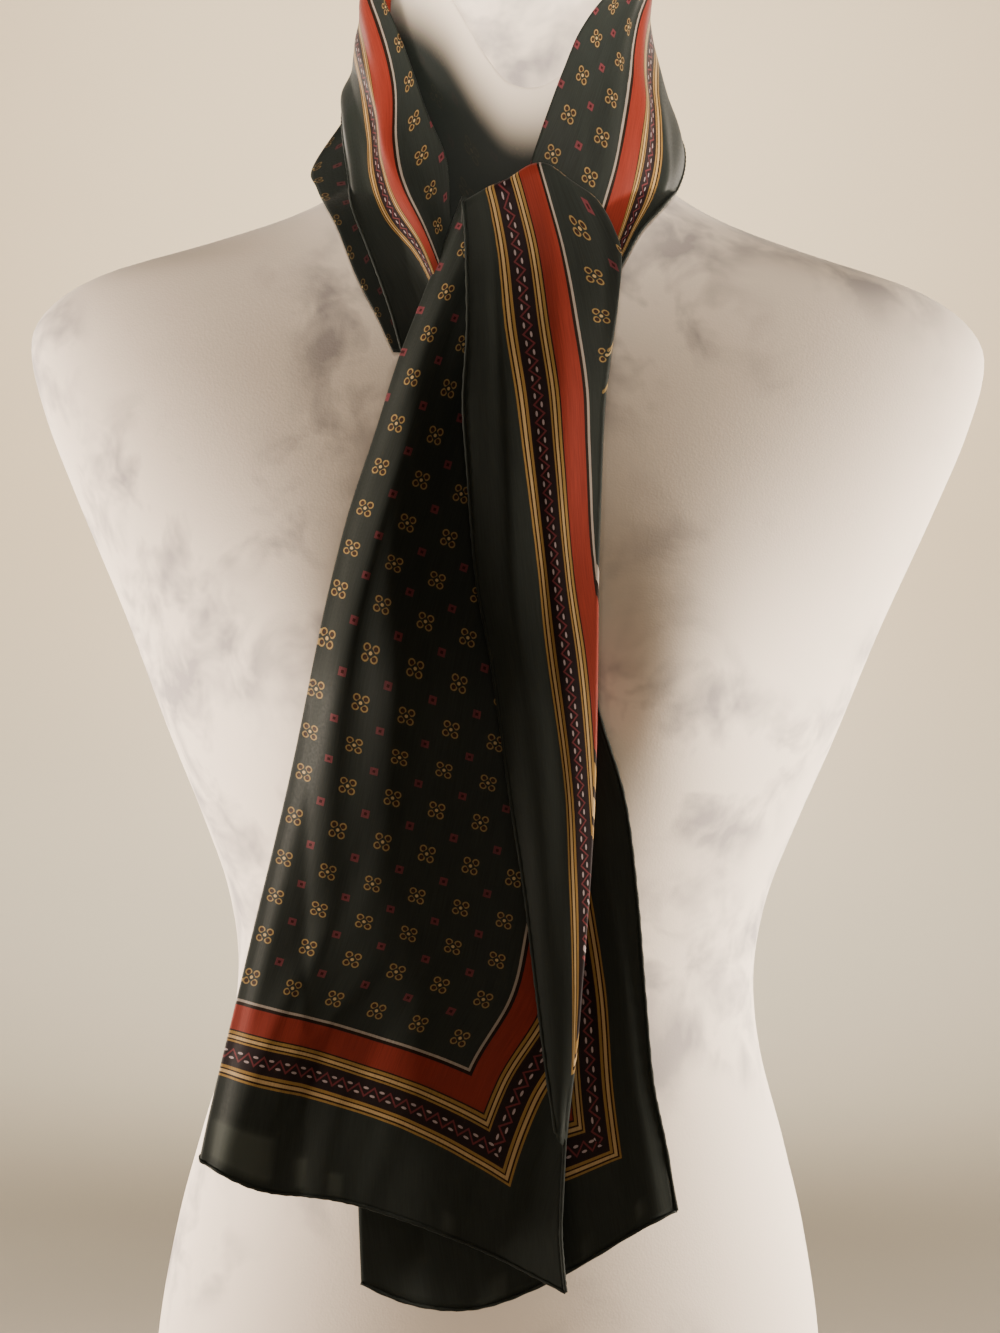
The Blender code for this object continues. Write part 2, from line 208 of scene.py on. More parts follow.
HEM_DENT_UP = 62.0

# The turned-over edge of the front end: its hem, its fold, how it stands, W at its fold, and the
# shares from its hem at which the outer gold line and the white line lie
Lapel = namedtuple("Lapel", "up hem_x hem_z fold_x fold_z rise stand lift cut gold line")
LAPEL = rows_of(Lapel, [
    (70, 26, 208, 29, 212, 0, 1.5, 16.5, 8, 1.10, 3.2),
    (94, 21, 238, 32.5, 240, 0, 3, 16.5, 27, 0.92, 2.6),
    (120, 17, 266, 34.5, 269, 0, 4, 16.5, 30.5, 0.81, 2.04),
    (163, 11, 309, 37, 314, 0, 7.5, 16.5, 36, 0.69, 1.58),
    (199, 5, 344, 38, 350, 0, 9.5, 16.5, 42, 0.66, 1.36),
    (256, -4, 401, 38, 406, 0, 11.5, 16.5, 49, 0.53, 1.16),
    (291, -11, 436, 38, 442, 0, 12, 16.5, 57, 0.51, 1.0),
    (340, -16, 485, 39, 491, 0, 12, 16.5, 61, 0.42, 0.925),
    (365, -18, 510, 40, 517, 0, 11, 17.5, 63.5, 0.37, 0.89),
    (393, -17, 540, 43.5, 543, 1, 9, 19.5, 70, 0.255, 0.766),
    (422, -18, 570, 46.5, 565, 7, 7, 22, 77, 0.20, 0.64),
    (440, -19, 586, 46, 579, 14, 6, 23.5, 85, 0.165, 0.55),
    (448, -20, 594, 42, 589, 20, 6, 24, 92, 0.15, 0.52),
])
# How its top bends up across it: the share from its fold, and the share of its row's rise
Crest = namedtuple("Crest", "share up")
CREST = rows_of(Crest, [(0, 0), (0.1, 0.42), (0.28, 0.74), (0.43, 1.0), (0.55, 0.93), (0.7, 0.58),
                        (0.83, 0.36), (1, 0)])
LAPEL_ARCH = 0.72        # share of a half wave that it follows from its fold to its hem
LAPEL_LINE = 57.0        # from its hem to the white line
LAPEL_WHOLE = 0.99       # a line at a share past this doesn't show on it
LAPEL_TIP = 70.0
FRONT_TOP = 448.0

# Over the crest the cloth rolls back and down into the throat
Roll = namedtuple("Roll", "along back down")
CREST_ROLL = rows_of(Roll, [
    (0, 0, 0),
    (3, 2.2, -1.3),
    (6, 4.6, -1.0),
    (9, 6.6, 1.2),
    (14, 8.4, 6.0),
    (20, 9.2, 12.0),
])
CREST_RIGHT = 0.6        # share of that roll at the right
CREST_FULL = 0.5         # share of the width at which it is whole

# The end behind: right hem, left fold, sag of its middle, millimetres from its hem to the outer gold
Under = namedtuple("Under", "down right_x right_z left_x left_z sag gold end")
UNDER = rows_of(Under, [
    (0, 46, 568.5, 1.5, 595.5, 0, 20, 420),
    (30, 39, 541, -9, 552, 0, 20, 390),
    (65, 35, 505, -16, 508, 0, 20, 350),
    (105, 33, 465, -22, 468, 0, 20, 308),
    (145, 34, 425, -29, 428, 0, 20, 269),
    (185, 39, 386, -36, 390, 0, 20.5, 228),
    (225, 51, 347, -41, 352, 1, 20.5, 188),
    (265, 57, 307, -45, 312, 3, 18.5, 149),
    (305, 61, 267, -49, 272, 6, 15.5, 109),
    (340, 65, 231, -52, 232, 12, 16, 73),
    (370, 71, 204, -55, 190, 20, 17.6, 42),
    (392, 76, 178, -53, 146, 23, 18, 0),
])
UNDER_LOW = 1.35         # its lowest place is nearer the left fold than the middle
UNDER_TUCK = 1.0         # how far its left fold turns in, and over what share of the width
UNDER_TUCK_SHARE = 0.1
UNDER_STRETCH = 1.15     # cloth in a millimetre of shown width past the outer gold line
UNDER_RETURN_W = 160.0   # W at the fold of what is folded back behind it
UNDER_RETURN_ROWS = (60.0, 380.0)
RETURN_SHARE = 0.86      # the folded-back cloth's share of the shown width
RETURN_LIFT = 0.12       # and how much of its width it rises by
RETURN_NARROWS = (330.0, 60.0)  # height from which the front one narrows, and over what length
RETURN_NARROW = 0.9      # share of its width that it loses there

# The inner layer that shows in the throat, between the strands, in painted shade with a painted see-through
# of
# the shaded form along its upper edge: an angle from the front, the height of its upper edge and of its
# lower one
Throat = namedtuple("Throat", "degrees top bottom")
THROAT = rows_of(Throat, [
    (-84, 712, 690),
    (-62, 708, 660),
    (-35, 692, 600),
    (-14, 664, 574),
    (-1, 651, 572),
    (17, 652, 576),
    (39, 672, 622),
    (54, 690, 654),
    (72, 704, 690),
])
THROAT_CLEAR = (0.6, 3.2)  # off the form at its upper edge and at its lower one
THROAT_W = 150.0         # W at its upper edge
THROAT_FADE = 34.0       # over this length it goes from painted see-through of the shaded form to painted shade
THROAT_SETTLE = 0.4      # share of its height over which it leaves the form
THROAT_RIPPLE = 0.5
THROAT_HALF_WAVES = 5
THROAT_LENGTH = 150.0
REACH_HALVINGS = 24      # halvings of the distance in which the form's surface is sought

# Soft folds of the cloth: from one place of the flat cut to another, their half width and their height,
# out of the cloth where it is more than 0 and into it where it is less
Fold = namedtuple("Fold", "w0 e0 w1 e1 spread height")
FRONT_FOLDS = rows_of(Fold, [
    (150, 18, 128, 150, 7, 1.6),
    (131, 8, 110, 128, 6, -1.5),
    (112, 0, 92, 96, 8, 1.3),
    (88, 6, 70, 74, 6, -1.2),
    (55, 0, 40, 60, 7, 1.4),
    (28, 12, 18, 66, 5, -1.0),
    (152, 190, 150, 300, 6, 1.5),
    (138, 240, 146, 352, 5, -1.3),
    (160, 330, 158, 420, 4, 1.2),
    (148, 350, 150, 424, 4, -1.4),
    (120, 140, 112, 250, 8, -1.0),
    (8, 150, 12, 300, 6, 1.2),
    (22, 190, 30, 360, 5, -0.9),
    (14, 300, 22, 430, 5, 1.0),
    (44, 330, 52, 446, 6, 0.9),
    (70, 390, 78, 446, 5, -0.8),
    (200, 40, 190, 220, 12, 1.2),
    (240, 60, 225, 300, 14, -1.4),
])
UNDER_FOLDS = rows_of(Fold, [
    (10, 1392, 14, 1250, 5, 1.2),
    (26, 1398, 34, 1270, 6, -1.5),
    (48, 1396, 50, 1290, 7, 1.4),
    (74, 1400, 66, 1250, 8, -1.3),
    (98, 1398, 84, 1280, 7, 1.5),
    (122, 1400, 110, 1300, 8, -1.2),
    (16, 1180, 12, 1060, 6, 1.0),
    (60, 1240, 48, 1080, 9, 1.1),
    (200, 1380, 180, 1200, 14, 1.2),
])
BAND_FOLDS = rows_of(Fold, [
    (236, 452, 262, 560, 5, 1.3),
    (250, 440, 282, 575, 5, -1.4),
    (288, 470, 292, 600, 5, 1.6),
    (232, 560, 240, 690, 6, -1.0),
    (268, 600, 262, 740, 8, 1.2),
    (286, 640, 280, 760, 6, -1.2),
    (240, 700, 250, 800, 7, 1.2),
    (262, 760, 276, 880, 7, -1.3),
    (230, 800, 238, 900, 6, 1.2),
    (244, 850, 262, 925, 6, -1.5),
    (276, 830, 286, 925, 6, 1.6),
    (222, 880, 246, 925, 5, 1.0),
])

FOLD_RUN = 0.4           # a fold dies away over this share of its length beyond its ends, and eases to full
FOLD_EASE = 0.6          # height over this one
FOLD_REACH = 3           # spreads from its middle at which it has died away
BAND_FOLD_DEEP = 0.6     # the most that folds go in, round the neck and on the end behind
UNDER_FOLD_DEEP = 1.6
UNDER_FOLD_FROM = 200.0  # the end behind has folds from here down, coming in over the next length
UNDER_FOLD_OVER = 60.0
PANEL_FADE = 0.08        # folds fade out over these shares of the width, towards the edges
EDGE_FADE = 0.1

# Painted see-through light: where the cloth is one layer over something pale and light shows through, it is
# painted lighter: places in the flat cut
Patch = namedtuple("Patch", "w0 w1 e0 e1 strength")
SEE_THROUGH_PATCHES = rows_of(Patch, [
    (132, 159, 5, 25, 0.85),
    (116, 121, 3, 18, 0.65),
    (100, 106, 2, 13, 0.6),
    (50, 55, 2, 12, 0.3),
    (17, 21, 1384, 1395, 0.55),
    (44, 48, 1390, 1398, 0.3),
    (84, 92, 1388, 1397, 0.35),
])
PATCH_EDGE = 3.0         # length over which such a place fades in
PATCH_MOST = 0.7

COVER_RING = 112         # points round the dress form in the render
COVER_STEP = 4.0         # height between its rings
COVER_CAP = (730.0, 9)   # where its rounded top begins, and the rings that it has

WELD = 0.00002           # points nearer than this are one, in metres
HEM_SIDES = 8            # points round a rolled hem
HEM_STITCH = 3.2         # millimetres between its stitches
HEM_DRAWN = 0.16         # share of its radius that they draw in


def read(rows, column, at):
    """Smooth value of a table's column at a value of its first column."""
    keys = [row[0] for row in rows]
    values = [getattr(row, column) for row in rows]
    if at <= keys[0]:
        return values[0]
    if at >= keys[-1]:
        return values[-1]
    i = max(k for k in range(len(keys) - 1) if keys[k] <= at)

    def slope(k):
        low, high = max(k - 1, 0), min(k + 1, len(keys) - 1)
        return (values[high] - values[low]) / (keys[high] - keys[low])

    step = keys[i + 1] - keys[i]
    t = (at - keys[i]) / step
    t2, t3 = t * t, t * t * t
    return ((2 * t3 - 3 * t2 + 1) * values[i] + (t3 - 2 * t2 + t) * step * slope(i)
            + (3 * t2 - 2 * t3) * values[i + 1] + (t3 - t2) * step * slope(i + 1))


FOUND_ROWS = {}


def read_row(rows, at):
    """A whole row at a value of its first column, kept for the next call."""
    key = (id(rows), round(at, 4))
    if key not in FOUND_ROWS:
        kind = type(rows[0])
        FOUND_ROWS[key] = kind(*[at] + [read(rows, column, at) for column in kind._fields[1:]])
    return FOUND_ROWS[key]


def mix(a, b, t):
    return a + (b - a) * t


def ease(t):
    """0 to 1 with a soft start and end."""
    t = min(max(t, 0.0), 1.0)
    return t * t * (3 - 2 * t)


def hump(t, centre, spread):
    """Soft bump of height 1."""
    return math.exp(-((t - centre) / spread) ** 2)


def bust(x, z):
    """Extra depth of the chest at a point of its front."""
    up = math.exp(-((z - BUST_Z) / BUST_SPREAD) ** 2 / 2)
    sides = sum(math.exp(-((x - side * BUST_X) / BUST_SPREAD) ** 2 / 2) for side in (-1, 1))
    return BUST_OUT * up * sides


def form_front(x, z):
    """Y of the dress form's front at a width and height."""
    row = read_row(FORM, z)
    reach = min(abs(x) / row.half_width, 1.0)
    return -(row.front + bust(x, z)) * (1 - reach ** row.power) ** (1 / row.power)


def hanging(x, z):
    """Y of what the front cloth hangs on: the chest, then a plumb fall from its fullest part."""
    near = min(max(x, -BUST_X), BUST_X)
    y = form_front(near, max(z, BUST_Z))
    return y * (1 - PLUMB_EASE * max(BUST_Z - z, 0) / BUST_Z)


def clear(x, y, z, layer):
    """The same point, but no nearer the front of the form than its layer."""
    if y > NECK_AXIS_Y or abs(x) >= read_row(FORM, z).half_width:
        return (x, y, z)
    return (x, min(y, form_front(x, z) - layer), z)


def folds_at(folds, w, e):
    """Height that soft folds add at a place of the flat cut."""
    total = 0.0
    for fold in folds:
        dw, de = fold.w1 - fold.w0, fold.e1 - fold.e0
        t = ((w - fold.w0) * dw + (e - fold.e0) * de) / (dw * dw + de * de)
        if -FOLD_RUN < t < 1 + FOLD_RUN:
            off = math.hypot(w - fold.w0 - dw * t, e - fold.e0 - de * t)
            if off < FOLD_REACH * fold.spread:
                ends = ease((t + FOLD_RUN) / FOLD_EASE) * ease((1 + FOLD_RUN - t) / FOLD_EASE)
                total += fold.height * ends * hump(off, 0, fold.spread)
    return total


def steps(first, last, count):
    """Evenly spaced values, both ends among them."""
    return [mix(first, last, k / (count - 1)) for k in range(count)]


def polar(degrees, radius, z):
    """Point at an angle from the front, round the neck's axis."""
    angle = math.radians(degrees)
    return (radius * math.sin(angle), NECK_AXIS_Y - radius * math.cos(angle), z)


def through(anchors, at):
    """Value on the straight lines through a list of (place, value)."""
    for (x0, y0), (x1, y1) in zip(anchors, anchors[1:]):
        if at <= x1:
            return mix(y0, y1, (at - x0) / max(x1 - x0, 1e-6))
    return anchors[-1][1]


def band_cut(turn, s):
    """W at a share of the band's width, so that the stripes lie where they show."""
    row = read_row(BAND, turn)
    return through([(0, row.inner), (row.line, CUT_WIDTH - LINE_INNER),
                    (row.line + LINE_SHARE, CUT_WIDTH - LINE_OUTER), (row.red, CUT_WIDTH - RED_OUTER),
                    (row.gold, CUT_WIDTH - SIDE_MARGIN), (1, CUT_WIDTH)], s)


def band_middle(turn):
    row = read_row(BAND, turn)
    return polar(mix(row.in_deg, row.out_deg, 0.5), mix(row.in_r, row.out_r, 0.5) + row.swell,
                 mix(row.in_z, row.out_z, 0.5))


def band_runs():
    """Cloth used up along the band's middle at each of its rows."""
    runs = [0.0]
    for row in BAND[1:]:
        small = [band_middle(row.turn - 1 + t) for t in steps(0, 1, 6)]
        runs.append(runs[-1] + sum(math.dist(a, b) for a, b in zip(small, small[1:])))
    return runs


BAND_RUNS = band_runs()


def band_run(turn):
    low = min(int(turn), len(BAND_RUNS) - 2)
    return mix(BAND_RUNS[low], BAND_RUNS[low + 1], turn - low)


def band_place(turn, s, layer):
    """Point of the band round the neck, with its place in the cut."""
    row = read_row(BAND, turn)
    w = band_cut(turn, s)
    e = STRAND_START + band_run(turn)
    degrees = mix(row.in_deg, row.out_deg, s)
    radius = mix(row.in_r, row.out_r, s) + row.swell * math.sin(math.pi * s)
    radius += row.ridge * hump(s, (row.line + row.red) / 2, RED_SPREAD)
    radius += MARGIN_RIDGE * hump(s, MARGIN_AT, MARGIN_SPREAD)
    radius += max(folds_at(BAND_FOLDS, w, e), -BAND_FOLD_DEEP)
    return clear(*polar(degrees, radius, mix(row.in_z, row.out_z, s)), layer), w, e


def strip_place(turn, s):
    """Point of the inner layer below the left hem."""
    row = read_row(STRIP, turn)
    degrees = mix(row.in_deg, row.out_deg, s)
    radius = mix(row.in_r, row.out_r, s)
    point = clear(*polar(degrees, radius, mix(row.in_z, row.out_z, s)), LAYER_STRIP)
    return point, mix(*STRIP_W, s), STRAND_START + band_run(turn)


def form_reach(degrees, z):
    """Distance of the form's surface from the neck's axis at an angle from the front."""
    row = read_row(FORM, z)
    near, far = 0.0, 2 * row.half_width
    for _ in range(REACH_HALVINGS):
        middle = (near + far) / 2
        x, y, _z = polar(degrees, middle, z)
        deep = row.front if y < 0 else row.back
        inside = abs(x / row.half_width) ** row.power + abs(y / deep) ** row.power < 1
        near, far = (middle, far) if inside else (near, middle)
    return near


def throat_place(across, down):
    """Point of the inner layer in the throat: both shares, from the left and from its upper edge."""
    degrees = mix(THROAT[0].degrees, THROAT[-1].degrees, across)
    row = read_row(THROAT, degrees)
    z = mix(row.top, row.bottom, down)
    wave = math.sin(THROAT_HALF_WAVES * math.pi * across + 2 * down)
    off = mix(*THROAT_CLEAR, ease(down / THROAT_SETTLE)) + THROAT_RIPPLE * down * wave
    point = polar(degrees, form_reach(degrees, z) + off, z)
    return point, THROAT_W + row.top - z, STRAND_START + THROAT_LENGTH * across


def panel_place(up, s):
    """Point of the front end: s is 0 at its left fold and 1 at its right edge."""
    row = read_row(PANEL, min(up, PANEL[-1].up))
    w = mix(row.cut_left, row.cut_right, s)
    x = mix(row.left_x, row.right_x, s)
    z = mix(row.left_z, row.right_z, s) - row.dip * math.sin(math.pi * s)
    z -= HEM_DENT * hump(s, HEM_DENT_AT, HEM_DENT_SPREAD) * (1 - ease(up / HEM_DENT_UP))
    edge = EDGE_TURN * (1 - ease(s / EDGE_SHARE))
    crown = row.puff * hump(s, CROWN_AT, CROWN_SPREAD)
    right = RIGHT_RISE * ease((s - RIGHT_FROM) / (1 - RIGHT_FROM))
    lift = row.lift + crown + right - edge
    lift += folds_at(FRONT_FOLDS, w, up) * ease(s / PANEL_FADE) * ease((1 - s) / PANEL_FADE)
    return (x, hanging(x, z) - lift, z), w, up


def return_place(up, s):
    """Point of the cloth folded back behind the front end."""
    row = read_row(PANEL, min(up, PANEL[-1].up))
    x = mix(row.left_x, row.right_x, s)
    z = mix(row.left_z, row.right_z, s) + RETURN_LIFT * (x - row.left_x)
    w = row.cut_left + s * (row.cut_left - row.cut_right)
    return (x, hanging(x, z) - LAYER_RETURN, z), w, up


def lapel_cut(up, s):
    """W across the turned-over edge, from its fold at 0 to its hem at 1."""
    row = read_row(LAPEL, up)
    anchors = [(0, 0.0)]
    if row.gold < LAPEL_WHOLE:
        anchors.append((row.gold, SIDE_MARGIN))
    if row.line < LAPEL_WHOLE and row.cut > LAPEL_LINE:
        anchors.append((row.line, LAPEL_LINE))
    anchors.append((1, row.cut))
    return through(anchors, 1 - s)


def lapel_place(up, s):
    """Point of the turned-over edge: s is 0 at its fold and 1 at its hem."""
    row = read_row(LAPEL, up)
    w = lapel_cut(up, s)
    x = mix(row.fold_x, row.hem_x, s)
    z = mix(row.fold_z, row.hem_z, s) + row.rise * read_row(CREST, s).up
    lift = row.lift + row.stand * math.sin(math.pi * LAPEL_ARCH * s)
    lift += folds_at(FRONT_FOLDS, w, up) * ease(s / EDGE_FADE)
    return (x, hanging(x, z) - lift, z), w, up


def under_place(down, s):
    """Point of the end behind: s is 0 at its right hem and 1 at its left fold."""
    row = read_row(UNDER, down)
    shown = s * math.hypot(row.left_x - row.right_x, row.left_z - row.right_z)
    w = through([(0, 0), (row.gold, SIDE_MARGIN),
                 (row.gold + CUT_WIDTH, SIDE_MARGIN + CUT_WIDTH * UNDER_STRETCH)], shown)
    e = CUT_LENGTH - row.end
    x = mix(row.right_x, row.left_x, s)
    z = mix(row.right_z, row.left_z, s) - row.sag * math.sin(math.pi * s ** UNDER_LOW)
    lift = LAYER_UNDER - UNDER_TUCK * ease((s - 1 + UNDER_TUCK_SHARE) / UNDER_TUCK_SHARE)
    folds = max(folds_at(UNDER_FOLDS, w, e), -UNDER_FOLD_DEEP)
    lift += folds * ease((1 - s) / EDGE_FADE) * ease((down - UNDER_FOLD_FROM) / UNDER_FOLD_OVER)
    return (x, hanging(x, z) - lift, z), w, e


def under_return_place(down, s):
    """Point of the cloth folded back behind that end."""
    row = read_row(UNDER, down)
    x = mix(row.left_x, row.right_x, s)
    z = mix(row.left_z, row.right_z, s) - row.sag * math.sin(math.pi * s ** UNDER_LOW)
    width = abs(row.left_x - row.right_x)
    return (x, hanging(x, z) - LAYER_UNDER_RETURN, z), UNDER_RETURN_W + s * width, CUT_LENGTH - row.end


def turn_between(a, b, t, bulge):
    """Half round from one place to another, t 0 to 1, standing out sideways by bulge."""
    (ax, ay, az), w, e = a
    bx, by, bz = b[0]
    angle = math.pi * t
    across = (1 - math.cos(angle)) / 2
    point = (mix(ax, bx, across) + bulge * math.sin(angle), mix(ay, by, across), mix(az, bz, across))
    return point, mix(w, b[1], across), e


def front_place(up, kind, t):
    """Point of the whole front end at a column of one kind."""
    if kind == "return":
        start, length = RETURN_NARROWS
        return return_place(up, t * RETURN_SHARE * (1 - RETURN_NARROW * ease((up - start) / length)))
    if kind == "left_turn":
        return turn_between(return_place(up, 0), panel_place(up, 0), t, -LEFT_BULGE)
    if kind == "panel":
        return panel_place(up, t)
    if up < LAPEL_TIP:
        return panel_place(up, 1)
    if kind == "right_turn":
        return turn_between(panel_place(up, 1), lapel_place(up, 0), t, RIGHT_BULGE)
    return lapel_place(up, t)


FRONT_COLUMNS = ([("return", t) for t in steps(1, 0, 22)][:-1]
                 + [("left_turn", t) for t in steps(0, 1, 6)][:-1]
                 + [("panel", t) for t in steps(0, 1, 78)]
                 + [("right_turn", t) for t in steps(0, 1, 7)][1:]
                 + [("lapel", t) for t in steps(0, 1, 48)][1:])
FRONT_STEP = 2.3


def front_rows():
    """Lengths from the hem at which the front end has a row, with one at the turned-over edge's tip."""
    below = steps(0, LAPEL_TIP, int(LAPEL_TIP / FRONT_STEP) + 1)
    above = steps(LAPEL_TIP, FRONT_TOP, int((FRONT_TOP - LAPEL_TIP) / FRONT_STEP) + 1)
    return below + above[1:] + [FRONT_TOP + roll.along for roll in CREST_ROLL[1:]]


def front_point(up, column):
    """Point of the front end, rolled over the crest past its top."""
    kind, t = FRONT_COLUMNS[column]
    if up <= FRONT_TOP:
        return front_place(up, kind, t)
    (x, y, z), w, e = front_place(FRONT_TOP, kind, t)
    if kind == "lapel":
        roll = read_row(CREST_ROLL, up - FRONT_TOP)
        share = mix(CREST_RIGHT, 1, ease(t / CREST_FULL))
        y, z = y + roll.back * share, z - roll.down * share
    return (x, y, z), w, up


def linear(code):
    """sRGB hex code as linear colour."""
    parts = [int(code[i:i + 2], 16) / 255 for i in (1, 3, 5)]
    return [c / 12.92 if c <= 0.04045 else ((c + 0.055) / 1.055) ** 2.4 for c in parts] + [1.0]


def add_node(tree, kind, inputs=None, **settings):
    """Node with its settings, its inputs set to values or linked from other nodes' first outputs."""
    node = tree.nodes.new(kind)
    for name, value in settings.items():
        setattr(node, name, value)
    for place, value in (inputs or {}).items():
        if isinstance(value, bpy.types.Node):
            tree.links.new(value.outputs[0], node.inputs[place])
        elif isinstance(value, bpy.types.NodeSocket):
            tree.links.new(value, node.inputs[place])
        else:
            node.inputs[place].default_value = value
    return node


def remap(tree, value, low, high, to_low, to_high, **settings):
    """A value between low and high, taken to between to_low and to_high."""
    inputs = {0: value, 1: low, 2: high, 3: to_low, 4: to_high}
    return add_node(tree, "ShaderNodeMapRange", inputs, **settings)


def blend(tree, share, first, second):
    """Colour between two colours."""
    return add_node(tree, "ShaderNodeMix", {0: share, 6: first, 7: second}, data_type="RGBA").outputs[2]


def noise(tree, place, scale, detail, **more):
    inputs = {"Vector": place, "Scale": scale, "Detail": detail}
    inputs.update(more)
    return add_node(tree, "ShaderNodeTexNoise", inputs)


def end_material(tree, shader, colour, roughness=None, bump=None, **values):
    """The shader's links and its plain values, whose names have _ for each space."""
    tree.links.new(colour, shader.inputs["Base Color"])
    if roughness is not None:
        tree.links.new(roughness.outputs[0], shader.inputs["Roughness"])
    if bump is not None:
        tree.links.new(bump.outputs[0], shader.inputs["Normal"])
    for name, value in values.items():
        shader.inputs[name.replace("_", " ")].default_value = value


def start_material(name):
    """New material with its shader and the tree it stands in."""
    made = bpy.data.materials.get(name)
    if made:
        return made, None, None
    made = bpy.data.materials.new(name)
    made.use_nodes = True
    tree = made.node_tree
    return made, tree, tree.nodes["Principled BSDF"]


# Stripes of the border, from the margin inwards: where each starts in millimetres, and its colour
Stripe = namedtuple("Stripe", "start colour")
STRIPES = rows_of(Stripe, [
    (0.0, "gold"),
    (0.9, "ink"),
    (1.6, "gold_light"),
    (3.0, "ink"),
    (3.6, "gold"),
    (4.9, "chain_ground"),
    (14.9, "gold"),
    (15.7, "ink"),
    (16.4, "gold_light"),
    (17.6, "ink"),
    (18.2, "gold"),
    (19.4, "ink"),
    (20.1, "red"),
    (30.5, "ink"),
    (32.0, "line"),
    (33.05, "ground"),
])
STRIPES_SPAN = 40.0      # millimetres that the colour ramp covers
INK = "#1a0f0a"
CHAIN_GROUND = "#1a1113"
ZIGZAG = "#57262a"
FLOWER_HEART = "#927c55"
FLOWER_INNER = "#30150c"
DIAMOND_HEART = "#2a1012"
SHADE = "#181c1b"        # painted shade, the dark colour that an inner layer's print is blended towards
SEE_THROUGH_LIGHT = "#3b403c"         # painted light showing through one layer over something pale
SHADED_SEE_THROUGH = "#cfc4b7"        # painted see-through and shade: the form's cover, a little shaded, behind one sheer layer close on it
WALL_COLOUR = "#cdbfa6"
WALL_MOTTLE = "#c4b69e"
FLOOR_COLOUR = "#c2bcae"

# The chain, in millimetres: its middle from the margin, half its height, half a thread of its zigzag,
# and half the length and width of its petals
CHAIN_AT = 9.9
CHAIN_HALF = 2.2
CHAIN_OVER = 0.5         # the zigzag's points reach this much past it
ZIGZAG_HALF = 0.55
PETAL_LONG = 1.2
PETAL_WIDE = 0.5
PETAL_AT = 1.35
# A flower, in millimetres: its petals' place along and across, their radius and half the line's width
PETAL_OFF = 1.82
PETAL_RADIUS = 1.22
PETAL_LINE = 0.29
PETAL_OPEN = 2.1         # the ring is left open towards the heart
INNER_RADIUS = 0.62
INNER_LINE = 0.2
HEART_RADIUS = 0.68
DIAMOND_HALF = 1.6
DIAMOND_HEART_HALF = 0.6
DIAMOND_INSET = 4.0
# Threads: real ones are about 0.12 mm apart, too fine to show, so they are drawn 0.5 mm apart
THREAD = 0.5


def square_sums(name, across, along):
    """Steps of the print that add two squares."""
    return ((name + "_across_2", "MULTIPLY", across, across), (name + "_along_2", "MULTIPLY", along, along),
            (name + "_sum", "ADD", name + "_across_2", name + "_along_2"))


def petal_sums(name, run):
    """Steps of the print that draw a petal of the chain: an oval round its place across and along."""
    return (((name + "_short", "DIVIDE", name + "_at", PETAL_WIDE),
             (name + "_long", "DIVIDE", run, PETAL_LONG))
            + square_sums(name, name + "_short", name + "_long")
            + ((name + "_petal", "LESS_THAN", name + "_sum", 1.0),))


